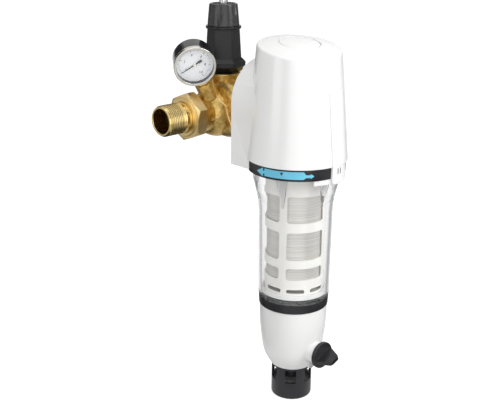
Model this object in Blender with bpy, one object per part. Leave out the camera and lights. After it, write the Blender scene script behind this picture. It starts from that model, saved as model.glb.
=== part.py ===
# Backwash water filter with a pressure reducer and gauge on its pipe connection.
# Metres, +Z up. The origin is where the pipe axis (X) meets the reducer axis (Z).
# The filter hangs in front of the pipe, on its own vertical axis.

import math

import bmesh
import bpy
from mathutils import Matrix, Vector

# Facets round a turned piece
SEGMENTS_LARGE = 32
SEGMENTS_MEDIUM = 24
SEGMENTS_SMALL = 16
SEGMENTS_TINY = 10

# Gap kept between pieces that touch
CLEARANCE = 0.0003
# Extra reach of a cutter past the face it opens
OVERCUT = 0.002
# Points closer than this are joined after a cut
WELD_DISTANCE = 0.000004

# Pipe run and unions
PORT_FACE_X = 0.0505
PORT_BORE_RADIUS = 0.012
PORT_THREAD_RADIUS = 0.0205
PORT_THREAD_LENGTH = 0.0085
PORT_NECK_RADIUS = 0.0196
TAIL_THREAD_RADIUS = 0.0166
TAIL_BORE_RADIUS = 0.0133
TAIL_REACH = 0.0296
TAIL_CHAMFER = 0.0013
TAIL_COLLAR_RADIUS = 0.0196
TAIL_COLLAR_THICKNESS = 0.003
UNION_GASKET_THICKNESS = 0.002
NUT_ACROSS_FLATS = 0.046
NUT_HEX_LENGTH = 0.0132
NUT_LIP_THICKNESS = 0.003
NUT_SHOULDER_LENGTH = 0.0022
NUT_CHAMFER = 0.0022
NUT_TURN = math.radians(7.7)

# Forged body
CHEEK_RADIUS = 0.028
CHEEK_CENTRE_X = 0.010
CORE_HALF_WIDTH = 0.019
CORE_BOTTOM_Z = -0.0265
CORE_TOP_Z = 0.036
CORE_CORNER_RADIUS = 0.010
CHAMBER_MOUTH_Z = 0.042
CHAMBER_MOUTH_RADIUS = 0.021
CHAMBER_WAIST_RADIUS = 0.0178
CHAMBER_WAIST_DEPTH = 0.012
CHAMBER_BORE_RADIUS = 0.0145
CHAMBER_FLOOR_Z = 0.0165
VALVE_PORT_RADIUS = 0.006
NECK_RADIUS = 0.0245
BODY_FLANGE_RADIUS = 0.037
BODY_FLANGE_THICKNESS = 0.009
BODY_FLANGE_HALF_HEIGHT = 0.0258
BODY_FLANGE_BACK_Y = -0.0625
PASSAGE_RADIUS = 0.0055
PASSAGE_OFFSET_X = 0.0095
CLEAN_PASSAGE_END = (0.004, -0.010, 0.026)

# Flange joint
FLANGE_GASKET_THICKNESS = 0.0015
FLANGE_GASKET_RADIUS = 0.0245
FLANGE_GASKET_WIDTH = 0.004
SCREW_CIRCLE_RADIUS = 0.0295
SCREW_COUNT = 4
SCREW_SHANK_RADIUS = 0.0025
SCREW_HEAD_RADIUS = 0.004
SCREW_HEAD_LENGTH = 0.004
SCREW_DEPTH_IN_HEAD = 0.007
SCREW_SOCKET_RADIUS = 0.0022
SCREW_SOCKET_DEPTH = 0.0022

# Reducer bonnet
BONNET_BASE_RADIUS = 0.0175
BONNET_SKIRT_LOW_Z = 0.0493
BONNET_SKIRT_HIGH_Z = 0.0537
BONNET_SKIRT_RADIUS = 0.0241
BONNET_FLATS_LOW_Z = 0.058
BONNET_FLATS_LOW_RADIUS = 0.0193
BONNET_FLATS_TOP_Z = 0.0898
BONNET_FLATS_TOP_RADIUS = 0.0174
BONNET_TOP_Z = 0.0920
BONNET_COLLAR_RADIUS = 0.0192
BONNET_CORNER_TURN = math.radians(15.7)
BONNET_BORE_RADIUS = 0.0118
BONNET_ROOF_THICKNESS = 0.006
BONNET_SPIGOT_LENGTH = 0.006
KNOB_BASE_RADIUS = 0.0173
KNOB_TOP_RADIUS = 0.0154
KNOB_TOP_Z = 0.1155
KNOB_EDGE_RADIUS = 0.0016
KNOB_DISH_RADIUS = 0.0118
KNOB_DISH_DEPTH = 0.0014
KNOB_SCALLOPS = 6
KNOB_SCALLOP_WIDTH = 0.0092
KNOB_SCALLOP_DEPTH = 0.0012
KNOB_SCALLOP_FOOT_Z = 0.0985
KNOB_SCALLOP_POINT = 0.008
KNOB_SCALLOP_TURN = math.radians(35.0)
KNOB_WALL = 0.0022
KNOB_HUB_RADIUS = 0.006
KNOB_ROOF_THICKNESS = 0.004
SPINDLE_RADIUS = 0.003
SPINDLE_THREAD_RADIUS = 0.004
SPINDLE_HEAD_RADIUS = 0.0046
SPINDLE_HEAD_TOP_Z = 0.1205
SPINDLE_END_Z = 0.066
SPINDLE_SHOULDER_HEIGHT = 0.002
SPRING_PLATE_Z = 0.0765
SPRING_PLATE_THICKNESS = 0.004
REDUCER_SPRING_RADIUS = 0.0088
REDUCER_SPRING_WIRE_RADIUS = 0.0013
REDUCER_SPRING_TURNS = 5

# Reducer cartridge and piston
CARTRIDGE_FLOOR_THICKNESS = 0.004
CARTRIDGE_FOOT_LENGTH = 0.005
CARTRIDGE_BORE_RADIUS = 0.0105
CARTRIDGE_HOLE_RADIUS = 0.004
CARTRIDGE_WINDOW_RADIUS = 0.0025
CARTRIDGE_WINDOWS = 4
PISTON_CLEARANCE = 0.0006
PISTON_HEAD_HEIGHT = 0.006
PISTON_STEM_RADIUS = 0.0025
PISTON_DISC_RADIUS = 0.0052
PISTON_DISC_HEIGHT = 0.0022
PISTON_TRAVEL = 0.002
PISTON_TOP_Z = 0.0405

# Pressure gauge, on a boss that leans out over the left union
BOSS_LEAN = math.radians(30.0)
BOSS_CIRCUMRADIUS = 0.0105
STEM_HEX_LENGTH = 0.0041
BOSS_REACH = 0.0237
BOSS_TOP_Z = 0.03555
BOSS_LENGTH = 0.019
BOSS_BORE_RADIUS = 0.0066
BOSS_BORE_DEPTH = 0.0095
PRESSURE_HOLE_RADIUS = 0.0025
PLUG_HEAD_HEIGHT = 0.0038
PLUG_CROWN = 0.0013
GAUGE_Y = -0.0060
GAUGE_TURN = math.radians(37.6)
GAUGE_CASE_RADIUS = 0.0215
GAUGE_CASE_DEPTH = 0.0235
GAUGE_CASE_WALL = 0.0012
GAUGE_EDGE_RADIUS = 0.0012
BEZEL_OVERHANG = 0.0009
BEZEL_DEPTH = 0.005
BEZEL_LIP = 0.0022
DIAL_RECESS = 0.0068
DIAL_THICKNESS = 0.0008
NEEDLE_LENGTH = 0.0158
NEEDLE_TAIL = 0.0085
NEEDLE_HALF_WIDTH = 0.0011
NEEDLE_THICKNESS = 0.0005
NEEDLE_LIFT = 0.0012
NEEDLE_HUB_RADIUS = 0.0022
NEEDLE_HUB_HEIGHT = 0.001
NEEDLE_REST = math.radians(101.0)
GAUGE_ARBOR_RADIUS = 0.0008
MOVEMENT_RADIUS = 0.009
MOVEMENT_GAP = 0.0008
STEM_NECK_RADIUS = 0.0037
STEM_HEX_CIRCUMRADIUS = 0.0081
STEM_THREAD_RADIUS = 0.0063
STEM_THREAD_LENGTH = 0.009

# Filter axis and hood
HOOD_BACK_INSET = 0.0009
HOOD_RIM_Z = -0.0312
HOOD_RIM_OVERHANG = 0.0019
HOOD_TOP_Z = 0.0825
HOOD_TOP_RADIUS = 0.0432
HOOD_EDGE_RADIUS = 0.0026
HOOD_CROWN = 0.005
HOOD_TOP_SLOPE = math.tan(math.radians(7.5))
HOOD_WALL = 0.0025
HOOD_BUTTON_RADIUS = 0.0206
HOOD_BUTTON_RECESS = 0.0014
COWL_HALF_WIDTH = 0.045
COWL_ARCH_Z = 0.022
COWL_BOTTOM_Z = -0.0415
COWL_BACK_Y = -0.0603
STRIP_HALF_WIDTH = 0.010
STRIP_TOP_Z = 0.0495
STRIP_RAISE = 0.0006
TONGUE_BOTTOM_Z = -0.0495
TONGUE_HALF_WIDTH = 0.0088
TONGUE_CORNER_RADIUS = 0.004

# Filter head, hidden under the hood
HEAD_FLANGE_GAP = 0.0004
HEAD_TOP_Z = 0.046
HEAD_EDGE_CHAMFER = 0.003
HEAD_SEAL_GAP = 0.0018
HEAD_SOCKET_ROOF_Z = -0.0300
HEAD_SKIRT_WALL = 0.0029
HEAD_SKIRT_END_Z = -0.0376
HEAD_NECK_RADIUS = 0.026
HEAD_FLANGE_THICKNESS = 0.010
HEAD_ANNULUS_WALL = 0.004
HEAD_ANNULUS_ROOF_Z = -0.008
HEAD_STUB_RADIUS = 0.014
HEAD_STUB_BORE_RADIUS = 0.0085
HEAD_RAW_DROP_INSET = 0.010

# Lock ring
LOCK_RING_WALL = 0.0032
LOCK_RING_BOTTOM_Z = -0.0435
LOCK_RING_LIP_GAP = 0.0004

# Clear bowl
BOWL_SPIGOT_RADIUS = 0.0425
BOWL_SPIGOT_TOP_Z = -0.0305
BOWL_FLANGE_THICKNESS = 0.0035
BOWL_NECK_STEP = 0.003
BOWL_SHOULDER_Z = -0.0527
BOWL_FLARE_Z = -0.0651
BOWL_FLARE_STEP = 0.0004
BOWL_WAIST_Z = -0.0752
BOWL_WAIST_STEP = 0.0022
BOWL_TUBE_Z = -0.0889
BOWL_TUBE_STEP = 0.0009
BOWL_BOTTOM_Z = -0.1838
BOWL_DRAFT = 0.0008
BOWL_WALL = 0.003
BOWL_LOWER_SPIGOT_STEP = 0.0032
BOWL_LOWER_SPIGOT_LENGTH = 0.016
BOWL_LEDGE_WIDTH = 0.0034
UPPER_SEAL_SECTION = 0.0013
LOWER_SEAL_SECTION = 0.0009

# Filter insert
CAGE_LEDGE_LAP = 0.0004
CAGE_WALL = 0.0016
CAGE_TOP_Z = -0.0475
CAGE_FOOT_HEIGHT = 0.0083
CAGE_FLOOR_THICKNESS = 0.002
CAGE_BAR_WIDTH = 0.014
CAGE_COLUMNS = 4
CAGE_TURN = math.radians(19.5)
CAGE_WINDOW_ROWS = ((-0.0640, -0.0943), (-0.1045, -0.1350), (-0.1442, -0.1572))
CAGE_SLOT_ROW = (-0.1677, -0.1721)
CAGE_SLOT_WIDTH = 0.019
CAGE_SLOT_TURN = math.radians(-44.0)
CAGE_SEAL_LAP = 0.0019
CAGE_CORNER_RADIUS = 0.0025
CAGE_WINDOW_REACH = 0.0095
MESH_THICKNESS = 0.0008
MESH_TOP_Z = -0.0575
MESH_FOOT_HEIGHT = 0.012
TUBE_RADIUS = 0.010
TUBE_WALL = 0.0015
INSERT_SPRING_RADIUS = 0.014
INSERT_SPRING_WIRE_RADIUS = 0.0009
INSERT_SPRING_TURNS = 5

# Base ring and drain housing
BASE_RING_HEIGHT = 0.0097
BASE_RING_STEP = 0.0003
BASE_RING_DRAFT = 0.0005
HOUSING_TOP_STEP = 0.0006
HOUSING_SIDE_DROP = 0.0342
HOUSING_SIDE_DRAFT = 0.0008
HOUSING_TAPER_DROP = 0.0588
HOUSING_TAPER_RADIUS = 0.0318
HOUSING_CORNER_DROP = 0.0711
HOUSING_CORNER_RADIUS = 0.0283
HOUSING_BOTTOM_DROP = 0.0827
HOUSING_BOTTOM_RADIUS = 0.0232
HOUSING_CAVITY_STEP = 0.0016
HOUSING_CAVITY_DROP = 0.0377
HOUSING_PORT_RADIUS = 0.0085
VALVE_DROP = 0.0602
VALVE_BOSS_RADIUS = 0.0135
VALVE_BOSS_FACE = 0.0325
BALL_RADIUS = 0.012
BALL_BORE_RADIUS = 0.0078
BALL_SEAT_BORE_RADIUS = 0.0085
BALL_SEAT_TOP = 0.0139
BALL_POCKET_RADIUS = 0.0132
STEM_RADIUS = 0.0045
STEM_COLLAR_RADIUS = 0.006
STEM_COLLAR_THICKNESS = 0.0022
STEM_TANG_HALF_WIDTH = 0.0014
STEM_TANG_DEPTH = 0.0025
STEM_SQUARE_HALF_WIDTH = 0.0028
STEM_SQUARE_LENGTH = 0.008
KNOB_GAP = 0.009
KNOB_HUB_GAP = 0.001
DRAIN_KNOB_RADIUS = 0.0146
DRAIN_KNOB_THICKNESS = 0.0042
DRAIN_KNOB_HUB_RADIUS = 0.0072
DRAIN_KNOB_EDGE = 0.0009
FIN_LENGTH = 0.0170
FIN_HALF_WIDTH = 0.0138
FIN_TIP_HALF_WIDTH = 0.0075
FIN_CORNER_RADIUS = 0.004
FIN_THICKNESS = 0.0042
FIN_TURN = math.radians(20.0)
KNOB_PIN_RADIUS = 0.0016
LUG_RADIUS = 0.0034
LUG_DROP = 0.0787
LUG_REACH = 0.0285
LUG_SCREW_RADIUS = 0.0012
LUG_SCREW_HEAD_RADIUS = 0.0024
LUG_SCREW_HEAD_LENGTH = 0.0016
LUG_SCREW_LENGTH = 0.005

# Drain outlet
OUTLET_RADIUS = 0.0222
OUTLET_WALL = 0.0025
OUTLET_BOTTOM_DROP = 0.1202
OUTLET_EDGE_RADIUS = 0.001
OUTLET_SPIGOT_RADIUS = 0.0185
OUTLET_SPIGOT_WALL = 0.0032
OUTLET_SPIGOT_LENGTH = 0.005
OUTLET_SLOTS = 6
OUTLET_SLOT_TOP_DROP = 0.0854
OUTLET_SLOT_BOTTOM_DROP = 0.1012
OUTLET_SLOT_ANGLE = math.radians(32.0)
OUTLET_SLOT_TURN = math.radians(-50.0)
NOZZLE_RADIUS = 0.0115
NOZZLE_WALL = 0.0016
NOZZLE_END_DROP = 0.0992

# Heights and places that follow from the sizes above
BEZEL_RADIUS = GAUGE_CASE_RADIUS + BEZEL_OVERHANG
BOSS_TOP_FROM_GAUGE = BEZEL_RADIUS + STEM_HEX_LENGTH
GAUGE_X = -BOSS_REACH - GAUGE_CASE_RADIUS / 2 - BOSS_TOP_FROM_GAUGE * math.sin(BOSS_LEAN)
GAUGE_Z = BOSS_TOP_Z + BOSS_TOP_FROM_GAUGE * math.cos(BOSS_LEAN)
GAUGE_CENTRE = (GAUGE_X, GAUGE_Y, GAUGE_Z)
HEAD_SOCKET_RADIUS = BOWL_SPIGOT_RADIUS + HEAD_SEAL_GAP
HEAD_SKIRT_RADIUS = HEAD_SOCKET_RADIUS + HEAD_SKIRT_WALL
LOCK_RING_BORE_RADIUS = HEAD_SKIRT_RADIUS + CLEARANCE
LOCK_RING_RADIUS = LOCK_RING_BORE_RADIUS + LOCK_RING_WALL
HOOD_RIM_RADIUS = LOCK_RING_RADIUS + HOOD_RIM_OVERHANG
FILTER_Y = COWL_BACK_Y + HOOD_BACK_INSET - HOOD_RIM_RADIUS
BODY_FLANGE_FRONT_Y = BODY_FLANGE_BACK_Y - BODY_FLANGE_THICKNESS
HEAD_FLANGE_Y = BODY_FLANGE_FRONT_Y - FLANGE_GASKET_THICKNESS - 2 * CLEARANCE
HEAD_RADIUS = HEAD_FLANGE_Y - FILTER_Y - HEAD_FLANGE_GAP
HEAD_ANNULUS_RADIUS = HEAD_RADIUS - HEAD_ANNULUS_WALL
BOWL_NECK_RADIUS = BOWL_SPIGOT_RADIUS + BOWL_NECK_STEP
LOCK_RING_LIP_RADIUS = BOWL_NECK_RADIUS + LOCK_RING_LIP_GAP
BOWL_FLARE_RADIUS = BOWL_SPIGOT_RADIUS - BOWL_FLARE_STEP
BOWL_WAIST_RADIUS = BOWL_FLARE_RADIUS - BOWL_WAIST_STEP
BOWL_TUBE_RADIUS = BOWL_WAIST_RADIUS - BOWL_TUBE_STEP
BOWL_BOTTOM_RADIUS = BOWL_TUBE_RADIUS - BOWL_DRAFT
BOWL_LOWER_SPIGOT_RADIUS = BOWL_BOTTOM_RADIUS - BOWL_LOWER_SPIGOT_STEP
BOWL_LEDGE_RADIUS = BOWL_LOWER_SPIGOT_RADIUS - BOWL_LEDGE_WIDTH
CAGE_RADIUS = BOWL_LEDGE_RADIUS + CAGE_LEDGE_LAP
CAGE_SEAL_RADIUS = BOWL_LEDGE_RADIUS + CAGE_SEAL_LAP
CAGE_BOTTOM_Z = BOWL_BOTTOM_Z + CAGE_FOOT_HEIGHT
MESH_BOTTOM_Z = CAGE_BOTTOM_Z + MESH_FOOT_HEIGHT
BASE_RING_TOP_RADIUS = BOWL_BOTTOM_RADIUS - BASE_RING_STEP
BASE_RING_BOTTOM_RADIUS = BASE_RING_TOP_RADIUS - BASE_RING_DRAFT
HOUSING_TOP_RADIUS = BASE_RING_BOTTOM_RADIUS - HOUSING_TOP_STEP
HOUSING_SIDE_RADIUS = HOUSING_TOP_RADIUS - HOUSING_SIDE_DRAFT
HOUSING_CAVITY_RADIUS = BOWL_LEDGE_RADIUS - HOUSING_CAVITY_STEP
HOUSING_SIDE_Z = BOWL_BOTTOM_Z - HOUSING_SIDE_DROP
HOUSING_TAPER_Z = BOWL_BOTTOM_Z - HOUSING_TAPER_DROP
HOUSING_CORNER_Z = BOWL_BOTTOM_Z - HOUSING_CORNER_DROP
HOUSING_BOTTOM_Z = BOWL_BOTTOM_Z - HOUSING_BOTTOM_DROP
HOUSING_CAVITY_FLOOR_Z = BOWL_BOTTOM_Z - HOUSING_CAVITY_DROP
VALVE_Z = BOWL_BOTTOM_Z - VALVE_DROP
LUG_Z = BOWL_BOTTOM_Z - LUG_DROP
OUTLET_BOTTOM_Z = BOWL_BOTTOM_Z - OUTLET_BOTTOM_DROP
OUTLET_SLOT_TOP_Z = BOWL_BOTTOM_Z - OUTLET_SLOT_TOP_DROP
OUTLET_SLOT_BOTTOM_Z = BOWL_BOTTOM_Z - OUTLET_SLOT_BOTTOM_DROP
NOZZLE_END_Z = BOWL_BOTTOM_Z - NOZZLE_END_DROP
NUT_HEX_RADIUS = NUT_ACROSS_FLATS / 2 / math.cos(math.radians(30))
COLLAR_FACE_X = PORT_FACE_X + 2 * CLEARANCE + UNION_GASKET_THICKNESS
LIP_FACE_X = COLLAR_FACE_X + TAIL_COLLAR_THICKNESS + CLEARANCE
NUT_FRONT_X = LIP_FACE_X + NUT_LIP_THICKNESS
NUT_BACK_X = NUT_FRONT_X - NUT_SHOULDER_LENGTH - NUT_HEX_LENGTH
TAIL_END_X = NUT_FRONT_X + TAIL_REACH
LOCK_RING_TOP_Z = HOOD_RIM_Z - CLEARANCE
BOWL_FLANGE_TOP_Z = HEAD_SKIRT_END_Z - CLEARANCE
BOWL_FLANGE_BOTTOM_Z = BOWL_FLANGE_TOP_Z - BOWL_FLANGE_THICKNESS
LOCK_RING_LIP_TOP_Z = BOWL_FLANGE_BOTTOM_Z - CLEARANCE
BOWL_LOWER_SPIGOT_END_Z = BOWL_BOTTOM_Z - BOWL_LOWER_SPIGOT_LENGTH
BASE_RING_TOP_Z = BOWL_BOTTOM_Z - CLEARANCE
BASE_RING_BOTTOM_Z = BASE_RING_TOP_Z - BASE_RING_HEIGHT
HOUSING_TOP_Z = BASE_RING_BOTTOM_Z - CLEARANCE
SOCKET_RADIUS = BOWL_LOWER_SPIGOT_RADIUS + CLEARANCE
OUTLET_TOP_Z = HOUSING_BOTTOM_Z - CLEARANCE
CHAMBER_BONNET_Z = CHAMBER_MOUTH_Z + CLEARANCE
BOWL_LEDGE_Z = BOWL_BOTTOM_Z + BOWL_WALL
BALL_SEAT_EDGE = STEM_COLLAR_RADIUS + 2 * CLEARANCE

# Frames: local Z becomes the direction named
UP = Matrix.Identity(4)
RIGHT = Matrix.Rotation(math.radians(90), 4, "Y")
LEFT = Matrix.Rotation(math.radians(-90), 4, "Y")
FORWARD = Matrix.Rotation(math.radians(90), 4, "X")
FILTER = Matrix.Translation((0, FILTER_Y, 0))
VALVE = Matrix.Translation((0, FILTER_Y, VALVE_Z)) @ FORWARD
BOSS_DIRECTION = Vector((-math.sin(BOSS_LEAN), 0, math.cos(BOSS_LEAN)))


def gauge_frame():
    """Local Z is the way the dial faces, local Y points away from the boss."""
    across = Vector((-math.cos(BOSS_LEAN), 0, -math.sin(BOSS_LEAN)))
    facing = math.cos(GAUGE_TURN) * Vector((0, -1, 0)) + math.sin(GAUGE_TURN) * across
    side = BOSS_DIRECTION.cross(facing)
    rows = Matrix((side, BOSS_DIRECTION, facing)).transposed().to_4x4()
    return Matrix.Translation(GAUGE_CENTRE) @ rows


def boss_frame():
    """Local Z runs along the boss, out of the body, from the gauge's centre."""
    facing = Vector((0, 1, 0))
    side = facing.cross(BOSS_DIRECTION)
    rows = Matrix((side, facing, BOSS_DIRECTION)).transposed().to_4x4()
    return Matrix.Translation(GAUGE_CENTRE) @ rows


def clear_scene():
    for item in list(bpy.context.scene.objects):
        bpy.data.objects.remove(item, do_unlink=True)


def finish_material(name, colour, roughness, metallic=0.0):
    material = bpy.data.materials.new(name)
    material.use_nodes = True
    shader = material.node_tree.nodes["Principled BSDF"]
    shader.inputs["Base Color"].default_value = (*colour, 1.0)
    shader.inputs["Roughness"].default_value = roughness
    shader.inputs["Metallic"].default_value = metallic
    material.diffuse_color = (*colour, 1.0)
    return material


def to_object(name, bm, frame=UP):
    """Turns a bmesh into an object, with its points in the part's own frame."""
    bmesh.ops.recalc_face_normals(bm, faces=bm.faces)
    mesh = bpy.data.meshes.new(name)
    bm.to_mesh(mesh)
    bm.free()
    mesh.transform(frame)
    item = bpy.data.objects.new(name, mesh)
    bpy.context.scene.collection.objects.link(item)
    return item


def turned(name, profile, segments, frame=UP, phase=0.0):
    """A closed (radius, height) profile turned about local Z. Radius 0 is on the axis."""
    bm = bmesh.new()
    rows = []
    for radius, height in profile:
        if radius == 0:
            rows.append([bm.verts.new((0, 0, height))])
            continue
        row = []
        for step in range(segments):
            angle = phase + 2 * math.pi * step / segments
            row.append(bm.verts.new((radius * math.cos(angle), radius * math.sin(angle), height)))
        rows.append(row)
    for upper, lower in zip(rows, rows[1:] + rows[:1]):
        join_rows(bm, upper, lower)
    loose = [point for point in bm.verts if not point.link_faces]
    bmesh.ops.delete(bm, geom=loose, context="VERTS")
    return to_object(name, bm, frame)


def join_rows(bm, upper, lower):
    count = max(len(upper), len(lower))
    if count == 1:
        return
    if min(len(upper), len(lower)) == 1 and upper[0].co.z == lower[0].co.z:
        bm.faces.new(upper if len(upper) > 1 else lower)
        return
    for step in range(count):
        after = (step + 1) % count
        if len(upper) == 1:
            bm.faces.new((upper[0], lower[step], lower[after]))
        elif len(lower) == 1:
            bm.faces.new((upper[step], upper[after], lower[0]))
        else:
            bm.faces.new((upper[step], upper[after], lower[after], lower[step]))


def lofted(name, sections, frame=UP):
    """Joins rings of points, all of one count, and closes both ends."""
    bm = bmesh.new()
    rows = [[bm.verts.new(point) for point in section] for section in sections]
    for first, second in zip(rows, rows[1:]):
        join_rows(bm, first, second)
    bm.faces.new(rows[0])
    bm.faces.new(rows[-1])
    return to_object(name, bm, frame)


def extruded(name, outline, low, high, frame=UP):
    """A flat outline in local XY, from height low to height high."""
    sections = [[(x, y, height) for x, y in outline] for height in (low, high)]
    return lofted(name, sections, frame)


def cylinder(name, radius, low, high, segments, frame=UP):
    """Turned half a facet from the other round pieces, so that a tool's points miss their edges."""
    phase = math.pi / segments
    return turned(name, [(0, high), (radius, high), (radius, low), (0, low)], segments, frame, phase)


def stepped(name, wide, narrow, top, step, low, segments, frame):
    """A stepped round tool: wide from top to step, then narrow down to low."""
    profile = [(0, top), (wide, top), (wide, step), (narrow, step), (narrow, low), (0, low)]
    return turned(name, profile, segments, frame, math.pi / segments)


def tube(name, outer, inner, low, high, segments, frame=UP):
    profile = [(inner, high), (outer, high), (outer, low), (inner, low)]
    return turned(name, profile, segments, frame)


def block(name, low, high, frame=UP):
    outline = [(low[0], low[1]), (high[0], low[1]), (high[0], high[1]), (low[0], high[1])]
    return extruded(name, outline, low[2], high[2], frame)


def join_close_points(mesh):
    bm = bmesh.new()
    bm.from_mesh(mesh)
    bmesh.ops.remove_doubles(bm, verts=bm.verts, dist=WELD_DISTANCE)
    bmesh.ops.dissolve_degenerate(bm, edges=bm.edges, dist=WELD_DISTANCE)
    bm.to_mesh(mesh)
    bm.free()


def combine(target, tool, operation):
    """Applies a Boolean to the target and removes the tool."""
    step = target.modifiers.new("Combine", "BOOLEAN")
    step.operation = operation
    step.solver = "EXACT"
    step.object = tool
    graph = bpy.context.evaluated_depsgraph_get()
    mesh = bpy.data.meshes.new_from_object(target.evaluated_get(graph))
    target.modifiers.clear()
    join_close_points(mesh)
    old = target.data
    target.data = mesh
    mesh.name = target.name
    bpy.data.meshes.remove(old)
    bpy.data.objects.remove(tool, do_unlink=True)
    return target


def cut(target, *tools):
    for tool in tools:
        combine(target, tool, "DIFFERENCE")
    return target


def add(target, *tools):
    for tool in tools:
        combine(target, tool, "UNION")
    return target


def group(name, items):
    """Keeps several separate solids in one object."""
    bm = bmesh.new()
    for item in items:
        bm.from_mesh(item.data)
        bpy.data.objects.remove(item, do_unlink=True)
    return to_object(name, bm)


def done(item, material, origin=(0, 0, 0), smooth_angle=40):
    """Gives the piece its material and puts its origin where it turns or sits."""
    item.data.materials.clear()
    item.data.materials.append(material)
    item.data.shade_smooth()
    item.data.set_sharp_from_angle(angle=math.radians(smooth_angle))
    item.data.transform(Matrix.Translation(-Vector(origin)))
    item.location = origin
    return item


def arc(centre, radius, start, end, steps):
    """Points of an arc in the profile plane, angles in degrees."""
    points = []
    for step in range(steps + 1):
        angle = math.radians(start + (end - start) * step / steps)
        points.append((centre[0] + radius * math.cos(angle), centre[1] + radius * math.sin(angle)))
    return points


def coil(name, radius, wire, low, high, turns, frame):
    """A compression spring with its end turns on the two heights."""
    steps_per_turn = 10
    sides = 5
    steps = turns * steps_per_turn
    sections = []
    for step in range(steps + 1):
        angle = 2 * math.pi * step / steps_per_turn
        height = low + wire + (high - low - 2 * wire) * step / steps
        out = Vector((math.cos(angle), math.sin(angle), 0))
        ring = []
        for side in range(sides):
            turn = 2 * math.pi * side / sides
            offset = out * math.cos(turn) * wire + Vector((0, 0, math.sin(turn) * wire))
            ring.append(out * radius + Vector((0, 0, height)) + offset)
        sections.append(ring)
    return lofted(name, sections, frame)


def union_nut(name, frame, material, turn):
    nut = turned(name, [(0, NUT_FRONT_X), (NUT_HEX_RADIUS, NUT_FRONT_X), (NUT_HEX_RADIUS, NUT_BACK_X),
                        (0, NUT_BACK_X)], 6, frame, turn)
    flat = NUT_ACROSS_FLATS / 2
    hex_front = NUT_FRONT_X - NUT_SHOULDER_LENGTH
    rim = [(0, NUT_FRONT_X), (flat - NUT_SHOULDER_LENGTH, NUT_FRONT_X), (flat, hex_front),
           (NUT_HEX_RADIUS + CLEARANCE, hex_front - NUT_CHAMFER),
           (NUT_HEX_RADIUS + CLEARANCE, NUT_BACK_X + NUT_CHAMFER),
           (flat, NUT_BACK_X), (0, NUT_BACK_X)]
    combine(nut, turned("nut_rim", rim, SEGMENTS_MEDIUM, frame), "INTERSECT")
    bore = PORT_THREAD_RADIUS + CLEARANCE
    hole = TAIL_THREAD_RADIUS + CLEARANCE
    cut(nut, stepped("nut_bore", bore, hole, NUT_BACK_X - OVERCUT, LIP_FACE_X, NUT_FRONT_X + OVERCUT,
                     SEGMENTS_MEDIUM, frame))
    return done(nut, material, smooth_angle=25)


def union_tail(name, frame, material):
    shank = COLLAR_FACE_X + TAIL_COLLAR_THICKNESS
    profile = [(TAIL_BORE_RADIUS, COLLAR_FACE_X), (TAIL_COLLAR_RADIUS, COLLAR_FACE_X),
               (TAIL_COLLAR_RADIUS, shank), (TAIL_THREAD_RADIUS, shank),
               (TAIL_THREAD_RADIUS, TAIL_END_X - TAIL_CHAMFER),
               (TAIL_THREAD_RADIUS - TAIL_CHAMFER, TAIL_END_X),
               (TAIL_BORE_RADIUS, TAIL_END_X)]
    return done(turned(name, profile, SEGMENTS_MEDIUM, frame), material)


def union_gasket(name, frame, material):
    face = PORT_FACE_X + CLEARANCE
    ring = tube(name, TAIL_COLLAR_RADIUS, TAIL_BORE_RADIUS, face + UNION_GASKET_THICKNESS, face,
                SEGMENTS_MEDIUM, frame)
    return done(ring, material)


def rounded_ring(half_width, low, high, corner, y):
    """A rounded rectangle in the XZ plane at depth y. A corner of the half width makes a circle."""
    ring = []
    centres = ((half_width - corner, high - corner, 0), (corner - half_width, high - corner, 90),
               (corner - half_width, low + corner, 180), (half_width - corner, low + corner, 270))
    for x, z, start in centres:
        for step in range(7):
            angle = math.radians(start + 15 * step)
            ring.append((x + corner * math.cos(angle), y, z + corner * math.sin(angle)))
    return ring


def body_run():
    """The turned run of the body: threaded ports, necks and two round cheeks."""
    half = [(PORT_THREAD_RADIUS, PORT_FACE_X), (PORT_THREAD_RADIUS, PORT_FACE_X - PORT_THREAD_LENGTH),
            (PORT_NECK_RADIUS, PORT_FACE_X - PORT_THREAD_LENGTH - TAIL_CHAMFER)]
    start = math.asin(PORT_NECK_RADIUS / CHEEK_RADIUS)
    steps = 5
    for step in range(steps + 1):
        angle = start + (math.pi / 2 - start) * step / steps
        half.append((CHEEK_RADIUS * math.sin(angle), CHEEK_CENTRE_X + CHEEK_RADIUS * math.cos(angle)))
    far_half = [(radius, -x) for radius, x in reversed(half)]
    profile = [(0, PORT_FACE_X)] + half + far_half + [(0, -PORT_FACE_X)]
    return turned("connection_body", profile, SEGMENTS_MEDIUM, RIGHT)


def body_core():
    """The web between the cheeks, which runs forward into a round neck."""
    neck = (NECK_RADIUS, -NECK_RADIUS, NECK_RADIUS, NECK_RADIUS - CLEARANCE)
    web = (CORE_HALF_WIDTH, CORE_BOTTOM_Z, CORE_TOP_Z, CORE_CORNER_RADIUS)
    flange = BODY_FLANGE_BACK_Y - BODY_FLANGE_THICKNESS / 2
    middle = [(a + b) / 2 for a, b in zip(web, neck)]
    blend_start = -CORE_HALF_WIDTH
    blend_end = BODY_FLANGE_BACK_Y + BODY_FLANGE_THICKNESS
    sections = [rounded_ring(*web, CORE_CORNER_RADIUS / 2), rounded_ring(*web, blend_start),
                rounded_ring(*middle, (blend_start + blend_end) / 2),
                rounded_ring(*neck, blend_end), rounded_ring(*neck, flange)]
    return lofted("core", sections)


def chamber():
    waist = CHAMBER_MOUTH_Z - CHAMBER_WAIST_DEPTH
    profile = [(0, CHAMBER_MOUTH_Z), (CHAMBER_MOUTH_RADIUS, CHAMBER_MOUTH_Z),
               (CHAMBER_WAIST_RADIUS, waist), (CHAMBER_WAIST_RADIUS, 0), (0, 0)]
    return turned("chamber", profile, SEGMENTS_MEDIUM)


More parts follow.
